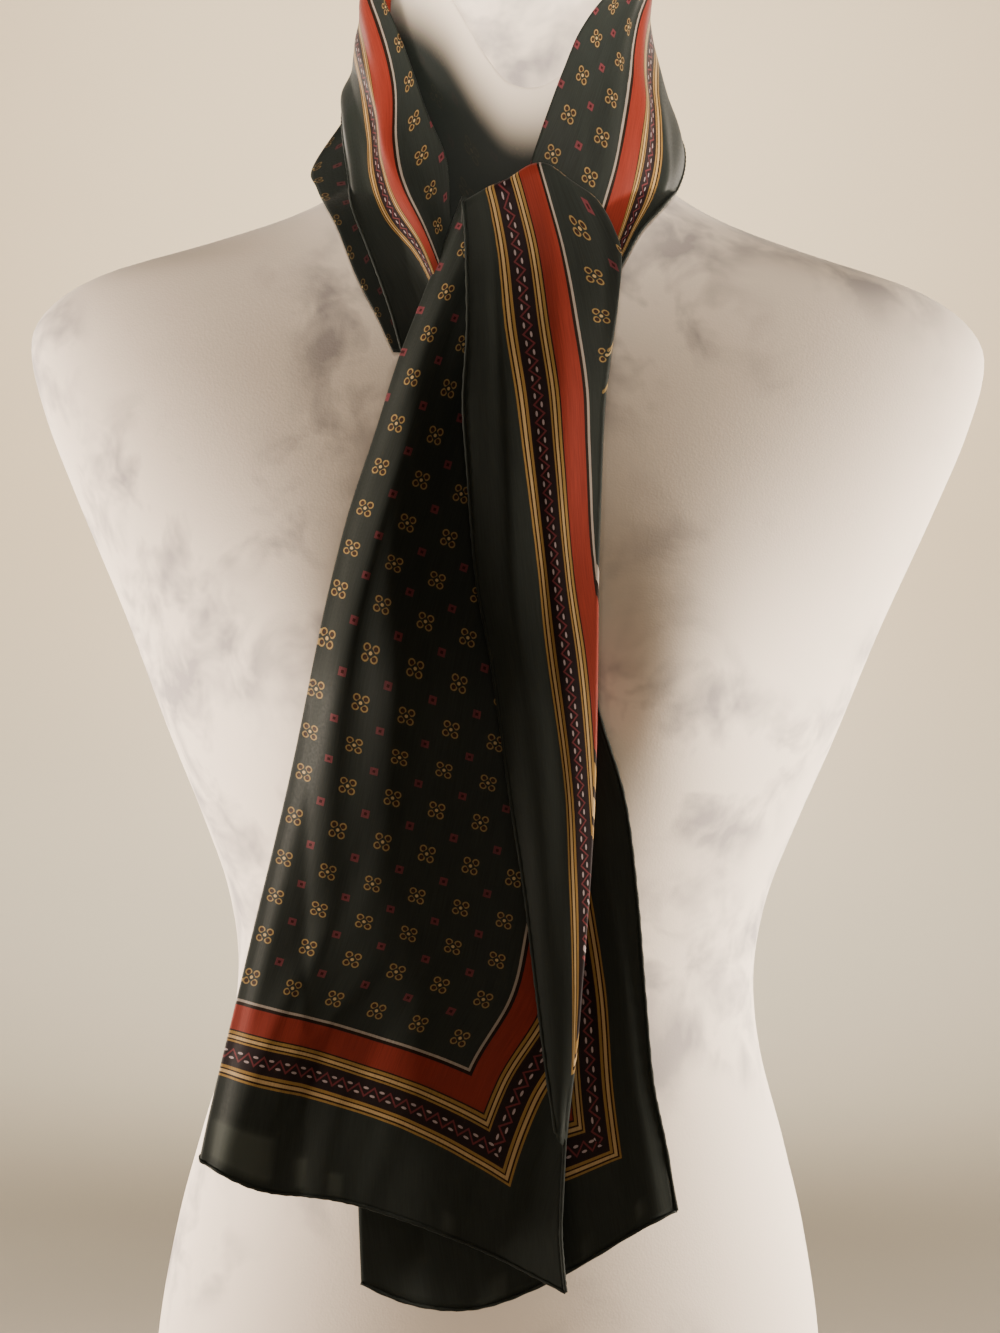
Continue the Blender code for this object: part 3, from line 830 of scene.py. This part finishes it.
# Every step of the print: its name, its sum, and what goes in, by name or as a number
PRINT_SUMS = (
    ("w", "MULTIPLY", "cut_w", 1 / MM),
    ("e", "MULTIPLY", "cut_e", 1 / MM),
    ("w_back", "SUBTRACT", CUT_WIDTH, "w"),
    ("w_near", "MINIMUM", "w", "w_back"),
    ("side", "SUBTRACT", "w_near", SIDE_MARGIN),
    ("e_back", "SUBTRACT", CUT_LENGTH, "e"),
    ("e_near", "MINIMUM", "e", "e_back"),
    ("end", "SUBTRACT", "e_near", END_MARGIN),
    ("depth", "MINIMUM", "side", "end"),
    ("ramp_at", "DIVIDE", "depth", STRIPES_SPAN),
    ("in_print", "GREATER_THAN", "depth", 0.0),
    # along the border, whichever way it runs
    ("on_end", "GREATER_THAN", "side", "end"),
    ("on_side", "SUBTRACT", 1.0, "on_end"),
    ("along_end", "MULTIPLY", "on_end", "w"),
    ("along_side", "MULTIPLY", "on_side", "e"),
    ("along", "ADD", "along_end", "along_side"),
    # the chain's zigzag, with a pale petal in each of its hollows
    ("phase", "PINGPONG", "along", CHAIN_PITCH / 2),
    ("phase_back", "SUBTRACT", CHAIN_PITCH / 2, "phase"),
    ("level", "SUBTRACT", "depth", CHAIN_AT),
    ("slope", "MULTIPLY", "phase", 4 * CHAIN_HALF / CHAIN_PITCH),
    ("wave", "SUBTRACT", "slope", CHAIN_HALF),
    ("off_wave", "SUBTRACT", "level", "wave"),
    ("near_wave", "ABSOLUTE", "off_wave"),
    ("on_wave", "LESS_THAN", "near_wave", ZIGZAG_HALF),
    ("level_size", "ABSOLUTE", "level"),
    ("in_chain", "LESS_THAN", "level_size", CHAIN_HALF + CHAIN_OVER),
    ("zigzag", "MULTIPLY", "on_wave", "in_chain"),
    ("upper_at", "SUBTRACT", "level", PETAL_AT),
    *petal_sums("upper", "phase"),
    ("lower_at", "ADD", "level", PETAL_AT),
    *petal_sums("lower", "phase_back"),
    # flowers of four outlined petals, on a square grid
    ("in_field", "GREATER_THAN", "depth", PRINT_BAND),
    ("from_w", "SUBTRACT", "w", FLOWER_FIRST_W),
    ("from_e", "SUBTRACT", "e", FLOWER_FIRST_E),
    ("flower_w", "PINGPONG", "from_w", FLOWER_STEP_W / 2),
    ("flower_e", "PINGPONG", "from_e", FLOWER_STEP_E / 2),
    ("petal_w", "SUBTRACT", "flower_w", PETAL_OFF),
    ("petal_e", "SUBTRACT", "flower_e", PETAL_OFF),
    *square_sums("petal", "petal_w", "petal_e"),
    ("petal_away", "SQRT", "petal_sum"),
    ("ring_off", "SUBTRACT", "petal_away", PETAL_RADIUS),
    ("ring_near", "ABSOLUTE", "ring_off"),
    ("ring", "LESS_THAN", "ring_near", PETAL_LINE),
    ("outward", "ADD", "flower_w", "flower_e"),
    ("open", "GREATER_THAN", "outward", PETAL_OPEN),
    ("open_ring", "MULTIPLY", "ring", "open"),
    ("flower", "MULTIPLY", "open_ring", "in_field"),
    ("inner_off", "SUBTRACT", "petal_away", INNER_RADIUS),
    ("inner_near", "ABSOLUTE", "inner_off"),
    ("inner_ring", "LESS_THAN", "inner_near", INNER_LINE),
    ("inner", "MULTIPLY", "inner_ring", "in_field"),
    *square_sums("heart", "flower_w", "flower_e"),
    ("heart_disc", "LESS_THAN", "heart_sum", HEART_RADIUS ** 2),
    ("heart", "MULTIPLY", "heart_disc", "in_field"),
    # small diamonds between them
    ("between_w", "SUBTRACT", "from_w", FLOWER_STEP_W / 2),
    ("between_e", "SUBTRACT", "from_e", FLOWER_STEP_E / 2),
    ("diamond_w", "PINGPONG", "between_w", FLOWER_STEP_W / 2),
    ("diamond_e", "PINGPONG", "between_e", FLOWER_STEP_E / 2),
    ("diamond_reach", "MAXIMUM", "diamond_w", "diamond_e"),
    ("diamond_whole", "LESS_THAN", "diamond_reach", DIAMOND_HALF),
    ("diamond_middle", "LESS_THAN", "diamond_reach", DIAMOND_HEART_HALF),
    ("well_inside", "GREATER_THAN", "depth", PRINT_BAND + DIAMOND_INSET),
    ("diamond", "MULTIPLY", "diamond_whole", "well_inside"),
    ("diamond_heart", "MULTIPLY", "diamond_middle", "well_inside"),
    # threads
    ("turn_w", "MULTIPLY", "w", 2 * math.pi / THREAD),
    ("turn_e", "MULTIPLY", "e", 2 * math.pi / THREAD),
    ("thread_w", "SINE", "turn_w"),
    ("thread_e", "SINE", "turn_e"),
    ("crossing", "MULTIPLY", "thread_w", "thread_e"),
)


def printed_silk(name, painted_shade_share, see_through_colour):
    """Silk-like filament weave, plain woven and screen printed.

    Fine even threads give it a soft sheen along the folds rather than a gloss, and the print lies in the
    cloth, with no thickness of its own. An inner layer gets painted shade: its print is blended by a share
    towards a dark colour, for its neighbours' shade. Painted see-through light blends in a lighter colour,
    for what one layer shows of the pale things and the light behind it.
    """
    made, tree, shader = start_material(name)
    if tree is None:
        return made
    colours = bpy.context.scene.scarf_print
    place = add_node(tree, "ShaderNodeUVMap", uv_map="cloth")
    parts = add_node(tree, "ShaderNodeSeparateXYZ", {0: place})
    found = {"cut_w": parts.outputs["X"], "cut_e": parts.outputs["Y"]}
    for result, operation, *values in PRINT_SUMS:
        inputs = {k: found[value] if isinstance(value, str) else value for k, value in enumerate(values)}
        found[result] = add_node(tree, "ShaderNodeMath", inputs, operation=operation)

    stripe_colours = {"ink": linear(INK), "chain_ground": linear(CHAIN_GROUND)}
    bands = add_node(tree, "ShaderNodeValToRGB", {0: found["ramp_at"]})
    stops = bands.color_ramp.elements
    bands.color_ramp.interpolation = "CONSTANT"
    for k, stripe in enumerate(STRIPES):
        stop = stops[k] if k < 2 else stops.new(stripe.start / STRIPES_SPAN)
        stop.position = stripe.start / STRIPES_SPAN
        stop.color = stripe_colours.get(stripe.colour) or getattr(colours, stripe.colour)
    layers = (
        ("zigzag", linear(ZIGZAG)),
        ("upper_petal", colours.chain_petal),
        ("lower_petal", colours.chain_petal),
        ("inner", linear(FLOWER_INNER)),
        ("flower", colours.flower),
        ("heart", linear(FLOWER_HEART)),
        ("diamond", colours.diamond),
        ("diamond_heart", linear(DIAMOND_HEART)),
    )
    colour = blend(tree, found["in_print"], colours.ground, bands)
    for mask, code in layers:
        colour = blend(tree, found[mask], colour, code)

    threads = noise(tree, place, 900.0, 2.0)
    slub = add_node(tree, "ShaderNodeMapping", {"Vector": place, "Scale": (2000.0, 60.0, 1.0)})
    streak = noise(tree, slub, 1.0, 3.0)
    weave = add_node(tree, "ShaderNodeMath", {0: found["crossing"], 1: 0.25, 2: streak},
                     operation="MULTIPLY_ADD")
    tone = remap(tree, streak, 0.3, 0.7, 0.84, 1.16)
    toned = add_node(tree, "ShaderNodeVectorMath", {0: colour, "Scale": tone}, operation="SCALE")
    # Painted shade: an inner layer's print is blended by a share towards a dark colour, for the shade it
    # lies in
    shaded_print = blend(tree, painted_shade_share, toned, linear(SHADE))
    # Painted see-through light: the cloth is blended towards a lighter colour by the share that each point
    # holds
    thin = add_node(tree, "ShaderNodeAttribute", attribute_name="thin")
    cloth = blend(tree, thin.outputs["Fac"], shaded_print, linear(see_through_colour))
    bump = add_node(tree, "ShaderNodeBump", {"Height": weave, "Strength": 0.12, "Distance": 0.0002})
    end_material(tree, shader, cloth, remap(tree, threads, 0.3, 0.7, 0.54, 0.66), bump, IOR=1.5,
                 Specular_IOR_Level=0.08, Sheen_Weight=0.015, Sheen_Roughness=0.45)
    return made


def jersey_cover(name):
    """Stretch jersey over foam, knitted polyester printed with faint grey marbling.

    It is matt and warm white, its stitches too fine to see as more than a soft grain. The marbling is
    soft outlines like petals, 20 to 40 mm across, with a faint cloud inside them.
    """
    made, tree, shader = start_material(name)
    if tree is None:
        return made
    colours = bpy.context.scene.scarf_print
    place = add_node(tree, "ShaderNodeTexCoord").outputs["Object"]
    drift = noise(tree, place, 14.0, 2.0)
    drifted = add_node(tree, "ShaderNodeVectorMath", {0: drift.outputs[1], "Scale": 0.05},
                       operation="SCALE")
    bent = add_node(tree, "ShaderNodeVectorMath", {0: place, 1: drifted}, operation="ADD")
    petals = noise(tree, bent, 30.0, 3.5, Roughness=0.6, Distortion=0.15)
    off = add_node(tree, "ShaderNodeMath", {0: petals, 1: 0.53}, operation="SUBTRACT")
    near = add_node(tree, "ShaderNodeMath", {0: off}, operation="ABSOLUTE")
    outline = remap(tree, near, 0.0, 0.07, 0.24, 0.0, interpolation_type="SMOOTHSTEP")
    cloud = remap(tree, petals, 0.44, 0.64, 0.0, 0.78)
    drawn = add_node(tree, "ShaderNodeMath", {0: outline, 1: cloud}, operation="MAXIMUM")
    where = remap(tree, noise(tree, place, 9.0, 2.0), 0.44, 0.58, 0.0, 1.0, interpolation_type="SMOOTHSTEP")
    mask = add_node(tree, "ShaderNodeMath", {0: where, 1: drawn}, operation="MULTIPLY")
    colour = blend(tree, mask, colours.cover, colours.marbling)
    # Stitches about 0.7 mm apart, drawn at 1 mm so that they show as a grain
    stitches = add_node(tree, "ShaderNodeTexVoronoi", {"Vector": place, "Scale": 1000.0})
    bump = add_node(tree, "ShaderNodeBump", {"Height": stitches, "Strength": 0.10, "Distance": 0.0003})
    end_material(tree, shader, colour, remap(tree, drift, 0.3, 0.7, 0.72, 0.86), bump,
                 Sheen_Weight=0.08, Specular_IOR_Level=0.2)
    return made


def painted_wall(name):
    """Matt emulsion paint, rolled: a pale ground with the faintest mottle, a little deeper on the floor."""
    made, tree, shader = start_material(name)
    if tree is None:
        return made
    place = add_node(tree, "ShaderNodeTexCoord").outputs["Object"]
    height = add_node(tree, "ShaderNodeSeparateXYZ", {0: place}).outputs["Z"]
    up = remap(tree, height, 0.0, 0.6, 0.0, 1.0, interpolation_type="SMOOTHSTEP")
    wall = blend(tree, noise(tree, place, 3.0, 3.0), linear(WALL_COLOUR), linear(WALL_MOTTLE))
    end_material(tree, shader, blend(tree, up, linear(FLOOR_COLOUR), wall), Roughness=0.9)
    return made


def select_only(piece):
    """Only this piece selected and active."""
    bpy.ops.object.select_all(action="DESELECT")
    piece.select_set(True)
    bpy.context.view_layer.objects.active = piece


def place_grid(name, rows, columns, place, see_through_of=None):
    """Grid added by its operator, every point of it then put in place, its cloth lengths in a UV map.

    place is called with a row and a column, and the other function, which gives the share of painted
    see-through light, with W and E.
    """
    bpy.ops.object.select_all(action="DESELECT")
    bpy.ops.mesh.primitive_grid_add(x_subdivisions=columns - 1, y_subdivisions=rows - 1, size=1)
    piece = bpy.context.object
    piece.name = piece.data.name = name
    cloth, thin = [], []
    for vertex in piece.data.vertices:
        column = round((vertex.co.x + 0.5) * (columns - 1))
        row = round((vertex.co.y + 0.5) * (rows - 1))
        point, w, e = place(row, column)
        vertex.co = [MM * c for c in point]
        cloth.append((w * MM, e * MM))
        thin.append((see_through_of or see_through_at)(w, e))
    layer = piece.data.uv_layers[0]
    layer.name = "cloth"
    layer.data.foreach_set("uv", [c for loop in piece.data.loops for c in cloth[loop.vertex_index]])
    # Each point's share of painted see-through light
    piece.data.attributes.new("thin", "FLOAT", "POINT").data.foreach_set("value", thin)
    return piece


def see_through_at(w, e):
    """How much painted see-through light lightens the cloth at a place of the cut."""
    total = 0.0
    for patch in SEE_THROUGH_PATCHES:
        across = ease((w - patch.w0) / PATCH_EDGE + 0.5) * ease((patch.w1 - w) / PATCH_EDGE + 0.5)
        along = ease((e - patch.e0) / PATCH_EDGE + 0.5) * ease((patch.e1 - e) / PATCH_EDGE + 0.5)
        total += patch.strength * across * along
    return min(total, PATCH_MOST)


def mend(piece, weld=True, fill=False, inside=None):
    """Join the mesh's doubled points, fill its open ends and turn its faces one way, as asked."""
    select_only(piece)
    bpy.ops.object.mode_set(mode="EDIT")
    bpy.ops.mesh.select_all(action="SELECT")
    if weld:
        bpy.ops.mesh.remove_doubles(threshold=WELD)
    if fill:
        bpy.ops.mesh.fill_holes(sides=0)
        bpy.ops.mesh.select_all(action="SELECT")
    if inside is not None:
        bpy.ops.mesh.normals_make_consistent(inside=inside)
    bpy.ops.object.mode_set(mode="OBJECT")


def dress(piece, material):
    piece.data.materials.clear()
    piece.data.materials.append(material)


def give_wall(piece, thickness):
    """Double the sheet into a thin closed shell, its folded places joined first."""
    mend(piece)
    wall = piece.modifiers.new("wall", "SOLIDIFY")
    wall.thickness = thickness
    wall.offset = 0.0
    bpy.ops.object.modifier_apply(modifier="wall")
    bpy.ops.object.shade_smooth()


def unit(way):
    size = max(math.sqrt(sum(c * c for c in way)), 1e-6)
    return [c / size for c in way]


def add_hem(name, path, radius):
    """Rolled hem along an edge: a narrow tube, drawn in a little at each hand stitch."""
    sides = HEM_SIDES
    points, faces, cloth = [], [], []
    run = 0.0
    for k, (point, w, e) in enumerate(path):
        before, after = path[max(k - 1, 0)][0], path[min(k + 1, len(path) - 1)][0]
        ahead = unit([b - a for a, b in zip(before, after)])
        level = unit([ahead[2], 0.0, -ahead[0]])
        out = [level[1] * ahead[2] - level[2] * ahead[1], level[2] * ahead[0] - level[0] * ahead[2],
               level[0] * ahead[1] - level[1] * ahead[0]]
        run += math.dist(path[max(k - 1, 0)][0], point)
        r = radius * (1 + HEM_DRAWN * math.sin(2 * math.pi * run / HEM_STITCH))
        for i in range(sides):
            angle = 2 * math.pi * i / sides
            c, s = r * math.cos(angle), r * math.sin(angle)
            points.append([MM * (p + c * a + s * b) for p, a, b in zip(point, level, out)])
            cloth.append((w * MM, e * MM))
    for k in range(len(path) - 1):
        for i in range(sides):
            a, b = k * sides + i, k * sides + (i + 1) % sides
            faces.append((a, b, b + sides, a + sides))
    faces += [tuple(reversed(range(sides))), tuple(range(len(points) - sides, len(points)))]
    mesh = bpy.data.meshes.new(name)
    mesh.from_pydata(points, [], faces)
    layer = mesh.uv_layers.new(name="cloth")
    layer.data.foreach_set("uv", [c for loop in mesh.loops for c in cloth[loop.vertex_index]])
    mesh.attributes.new("thin", "FLOAT", "POINT")
    mesh.shade_smooth()
    hem = bpy.data.objects.new(name, mesh)
    bpy.context.collection.objects.link(hem)
    mend(hem, weld=False, inside=False)
    return hem


def finish_cloth(piece, hems, material, nodes):
    """Wall, hems, print and what the sheet stands for."""
    give_wall(piece, bpy.context.scene.scarf_cloth.thickness)
    if hems:
        select_only(piece)
        for hem in hems:
            hem.select_set(True)
        bpy.ops.object.join()
    dress(piece, material)
    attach(piece, "root")
    if nodes:
        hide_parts(*nodes)


def colour_setting(name, about, code):
    return FloatVectorProperty(name=name, description=about, subtype="COLOR", size=4, min=0.0, max=1.0,
                               default=linear(code))


class ScarfClothSettings(bpy.types.PropertyGroup):
    """Sizes of the scarf's cloth."""
    thickness: FloatProperty(name="Thickness", description="Thickness of the cloth with its soft loft",
                             default=0.0005, min=0.0001, unit="LENGTH")
    hem: FloatProperty(name="Hem radius", description="Half the thickness of the rolled hem",
                       default=0.0008, min=0.0003, unit="LENGTH")


class ScarfPrintSettings(bpy.types.PropertyGroup):
    """Colours of the scarf's print and of the form's cover."""
    ground: colour_setting("Ground", "Field and margins", "#1f2321")
    red: colour_setting("Red band", "Wide band of the border", "#69241a")
    gold: colour_setting("Gold", "Outer lines of the border", "#7a5f33")
    gold_light: colour_setting("Light gold", "Middle lines of the border", "#987f58")
    line: colour_setting("Pale line", "Line between the red band and the field", "#7e746c")
    chain_petal: colour_setting("Chain petals", "Pale marks in the chain", "#8d7e80")
    flower: colour_setting("Flowers", "Outlines of the flowers", "#735f3b")
    diamond: colour_setting("Diamonds", "Small diamonds between the flowers", "#55292e")
    cover: colour_setting("Cover", "Ground of the dress form's cover", "#e1d5c8")
    marbling: colour_setting("Marbling", "Marbling of the dress form's cover", "#858085")


class ScarfStageSettings(bpy.types.PropertyGroup):
    """Light and camera of the stage."""
    side_light: FloatProperty(name="Lamps", description="Strength that all the lamps share",
                              default=34.0, min=0.0, unit="POWER")
    fill: FloatProperty(name="Fill", description="Strength of the even light all round",
                        default=0.02, min=0.0)
    camera_distance: FloatProperty(name="Camera distance", description="From the form's middle",
                                   default=1.6, min=0.3, unit="LENGTH")
    camera_height: FloatProperty(name="Camera height", description="Above the floor",
                                 default=0.400, unit="LENGTH")
    camera_roll: FloatProperty(name="Camera roll", description="Tilt of the picture",
                               default=math.radians(1.1), unit="ROTATION")


class ScarfFrontEnd(bpy.types.Operator):
    """The front end: its field and border, the edge turned over on it and the cloth folded back behind"""
    bl_idname = "scarf.front_end"
    bl_label = "Front end"

    def execute(self, context):
        rows = front_rows()
        piece = place_grid("front_end_cloth", len(rows), len(FRONT_COLUMNS),
                           lambda row, column: front_point(rows[row], column))
        radius = context.scene.scarf_cloth.hem / MM
        bottom = [front_place(0, kind, t) for kind, t in FRONT_COLUMNS
                  if kind in ("return", "left_turn", "panel")]
        side = [front_place(up, "panel", 1) for up in steps(0, LAPEL_TIP, 30)]
        side += [front_place(up, "lapel", 1) for up in steps(LAPEL_TIP + 2, FRONT_TOP, 180)]
        side += [front_point(FRONT_TOP + roll.along, len(FRONT_COLUMNS) - 1) for roll in CREST_ROLL[1:]]
        hems = [add_hem("front_end_hem", bottom, radius), add_hem("front_side_hem", side, radius)]
        finish_cloth(piece, hems, printed_silk("silk_printed", 0.0, SEE_THROUGH_LIGHT),
                     ("front_tail", "lapel", "front_return"))
        return {"FINISHED"}


class ScarfNeck(bpy.types.Operator):
    """The stretches round the neck, and the inner layer that shows at the left"""
    bl_idname = "scarf.neck"
    bl_label = "Neck"

    def execute(self, context):
        radius = context.scene.scarf_cloth.hem / MM
        stretches = (
            ("neck_left_cloth", "neck_left", LEFT_TURNS, LAYER_STRAND_LEFT, 90),
            ("neck_back_cloth", "neck_back", BACK_TURNS, LAYER_STRAND_LEFT, 70),
            ("neck_right_cloth", "neck_right", RIGHT_TURNS, LAYER_STRAND_RIGHT, 110),
        )
        columns = 54
        for name, node, turns, layer, rows in stretches:
            first, last = turns[0] + SEAM_TURN, turns[1] - SEAM_TURN
            grid = [[band_place(turn, share, layer) for share in steps(0, 1, columns)]
                    for turn in steps(first, last, rows)]
            piece = place_grid(name, rows, columns, lambda row, column: grid[row][column])
            hem = add_hem(name + "_hem", [line[-1] for line in grid], radius)
            finish_cloth(piece, [hem], printed_silk("silk_printed", 0.0, SEE_THROUGH_LIGHT), (node,))
        rows, columns = 60, 12
        last = STRIP[-1].turn
        strip = place_grid("neck_inner_cloth", rows, columns,
                           lambda row, column: strip_place(last * row / (rows - 1), column / (columns - 1)))
        # Painted shade on the inner strip: half of its print is blended towards a dark colour
        finish_cloth(strip, [], printed_silk("silk_printed_inner", 0.5, SEE_THROUGH_LIGHT), ("neck_left_under",))
        rows, columns = 44, 90
        throat = place_grid("throat_cloth", rows, columns,
                            lambda row, column: throat_place(column / (columns - 1), row / (rows - 1)),
                            lambda w, e: 1 - ease((w - THROAT_W) / THROAT_FADE))
        # Painted shade: nearly all of its print is blended to a dark colour, and at its upper edge to the
        # shaded form seen through one layer
        finish_cloth(throat, [], printed_silk("silk_sheer_inner", 0.97, SHADED_SEE_THROUGH), ())
        return {"FINISHED"}


class ScarfUnderEnd(bpy.types.Operator):
    """The end that hangs behind, with the cloth folded back behind it"""
    bl_idname = "scarf.under_end"
    bl_label = "End behind"

    def execute(self, context):
        radius = context.scene.scarf_cloth.hem / MM
        rows, columns = 170, 64
        depth = UNDER[-1].down
        piece = place_grid(
            "under_end_cloth", rows, columns,
            lambda row, column: under_place(depth * row / (rows - 1), column / (columns - 1)))
        side = [under_place(down, 0) for down in steps(0, depth, 170)]
        bottom = [under_place(depth, s) for s in steps(0, 1, 60)]
        hems = [add_hem("under_side_hem", side, radius), add_hem("under_end_hem", bottom, radius)]
        finish_cloth(piece, hems, printed_silk("silk_printed", 0.0, SEE_THROUGH_LIGHT), ("under_tail",))
        rows, columns = 90, 30
        back = place_grid("under_return_cloth", rows, columns,
                          lambda row, column: under_return_place(mix(*UNDER_RETURN_ROWS, row / (rows - 1)),
                                                                 RETURN_SHARE * column / (columns - 1)))
        # Painted shade on the folded-back cloth: half of its print is blended towards a dark colour
        finish_cloth(back, [], printed_silk("silk_printed_inner", 0.5, SEE_THROUGH_LIGHT), ("under_return",))
        return {"FINISHED"}


class ScarfDressForm(bpy.types.Operator):
    """Limbless dress form in its stretch cover"""
    bl_idname = "scarf.dress_form"
    bl_label = "Dress form"

    def execute(self, context):
        top = FORM[-1].z
        cap, cap_rings = COVER_CAP
        levels = [z for z in steps(0, top, int(top / COVER_STEP) + 1) if z < cap]
        levels += steps(cap, top, cap_rings)

        def place(row, column):
            z = levels[row]
            ring = read_row(FORM, z)
            angle = 2 * math.pi * column / COVER_RING
            c, s = math.cos(angle), math.sin(angle)
            x = ring.half_width * math.copysign(abs(c) ** (2 / ring.power), c)
            deep = ring.front + bust(x, z) if s < 0 else ring.back
            return (x, math.copysign(deep * abs(s) ** (2 / ring.power), s), z), column, z

        piece = place_grid("dress_form_cover", len(levels), COVER_RING + 1, place)
        mend(piece, fill=True, inside=False)
        bpy.ops.object.shade_smooth_by_angle(angle=math.radians(50))
        dress(piece, jersey_cover("jersey_cover_marbled"))
        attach(piece, "root")
        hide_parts("dress_form")
        return {"FINISHED"}


# The stage: distance from the middle and height of its sweep, and the points round it
SWEEP_PROFILE = ((0, 0), (500, 0), (1000, 0), (1500, 0), (1800, 10), (2020, 50), (2190, 140), (2310, 290),
                 (2380, 520), (2400, 900), (2400, 1800), (2400, 2900))
SWEEP_RING = 72
# Its lamps: place, what it is aimed at, share of the strength, size, spread of its beam in degrees, colour
LAMPS = (
    ("lamp_left", (-1.25, -0.04, 0.27), (0, 0, 0.33), 0.25, 0.45, 62, (1.0, 0.85, 0.70)),
    ("lamp_right", (1.25, -0.04, 0.27), (0, 0, 0.33), 0.28, 0.45, 62, (1.0, 0.87, 0.72)),
    ("lamp_front", (0.0, -1.90, 0.30), (0, 0, 0.36), 0.02, 0.5, 60, (1.0, 0.86, 0.72)),
    ("lamp_neck", (0.0, -1.90, 1.00), (0, -0.05, 0.77), 0.028, 0.2, 12, (1.0, 0.88, 0.74)),
    ("lamp_back_left", (-1.30, 1.80, 0.70), (0, 0, 0.35), 0.20, 0.6, 78, (1.0, 0.88, 0.75)),
    ("lamp_back_right", (1.30, 1.80, 0.70), (0, 0, 0.35), 0.20, 0.6, 78, (1.0, 0.88, 0.75)),
    ("lamp_wall", (0.0, 1.05, 1.45), (0, 2.4, 0.66), 0.95, 1.0, 108, (1.0, 0.90, 0.76)),
)
SENSOR_HEIGHT = 24.0     # of the camera, in millimetres
LENS = 64.87


class ScarfStage(bpy.types.Operator):
    """Plain floor and wall in one sweep, soft lamps and the camera"""
    bl_idname = "scarf.stage"
    bl_label = "Stage"

    def execute(self, context):
        settings = context.scene.scarf_stage

        def place(row, column):
            radius, z = SWEEP_PROFILE[row]
            return polar(360 * column / SWEEP_RING, radius, z), 0, z

        sweep = place_grid("stage_sweep", len(SWEEP_PROFILE), SWEEP_RING + 1, place)
        mend(sweep, inside=True)
        bpy.ops.object.shade_smooth()
        dress(sweep, painted_wall("emulsion_wall"))
        for name, spot, aim, share, size, spread, colour in LAMPS:
            data = bpy.data.lights.new(name, "AREA")
            data.energy = settings.side_light * share
            data.size = size
            data.spread = math.radians(spread)
            data.color = colour
            lamp = bpy.data.objects.new(name, data)
            lamp.location = spot
            lamp.visible_camera = False
            ahead = [b - a for a, b in zip(spot, aim)]
            level = math.hypot(ahead[0], ahead[1])
            lamp.rotation_euler = (math.pi / 2 + math.atan2(ahead[2], level), 0,
                                   math.atan2(-ahead[0], ahead[1]))
            context.collection.objects.link(lamp)
        world = context.scene.world or bpy.data.worlds.new("stage_world")
        context.scene.world = world
        world.use_nodes = True
        background = world.node_tree.nodes["Background"]
        background.inputs["Color"].default_value = (1.0, 0.96, 0.90, 1.0)
        background.inputs["Strength"].default_value = settings.fill
        data = bpy.data.cameras.new("camera")
        data.sensor_fit = "VERTICAL"
        data.sensor_height = SENSOR_HEIGHT
        data.lens = LENS
        camera = bpy.data.objects.new("camera", data)
        camera.location = (-0.0008, -settings.camera_distance, settings.camera_height)
        camera.rotation_euler = (math.pi / 2, -settings.camera_roll, 0)
        context.collection.objects.link(camera)
        context.scene.camera = camera
        return {"FINISHED"}


class ScarfPanel(bpy.types.Panel):
    """The pieces, in the order in which they are built"""
    bl_idname = "VIEW3D_PT_scarf"
    bl_label = "Printed scarf"
    bl_space_type = "VIEW_3D"
    bl_region_type = "UI"
    bl_category = "Scarf"

    def draw(self, context):
        for group in (context.scene.scarf_cloth, context.scene.scarf_print, context.scene.scarf_stage):
            for name in group.__annotations__:
                self.layout.prop(group, name)
        for piece in PIECES:
            self.layout.operator(piece.bl_idname)


PIECES = (ScarfStage, ScarfDressForm, ScarfUnderEnd, ScarfNeck, ScarfFrontEnd)
CLASSES = (ScarfClothSettings, ScarfPrintSettings, ScarfStageSettings) + PIECES + (ScarfPanel,)


def register():
    for kind in CLASSES:
        bpy.utils.register_class(kind)
    bpy.types.Scene.scarf_cloth = PointerProperty(type=ScarfClothSettings)
    bpy.types.Scene.scarf_print = PointerProperty(type=ScarfPrintSettings)
    bpy.types.Scene.scarf_stage = PointerProperty(type=ScarfStageSettings)


def unregister():
    del bpy.types.Scene.scarf_stage
    del bpy.types.Scene.scarf_print
    del bpy.types.Scene.scarf_cloth
    for kind in reversed(CLASSES):
        bpy.utils.unregister_class(kind)


def main():
    register()
    bpy.ops.scarf.stage()
    bpy.ops.scarf.dress_form()
    bpy.ops.scarf.under_end()
    bpy.ops.scarf.neck()
    bpy.ops.scarf.front_end()


if __name__ == "__main__":
    main()
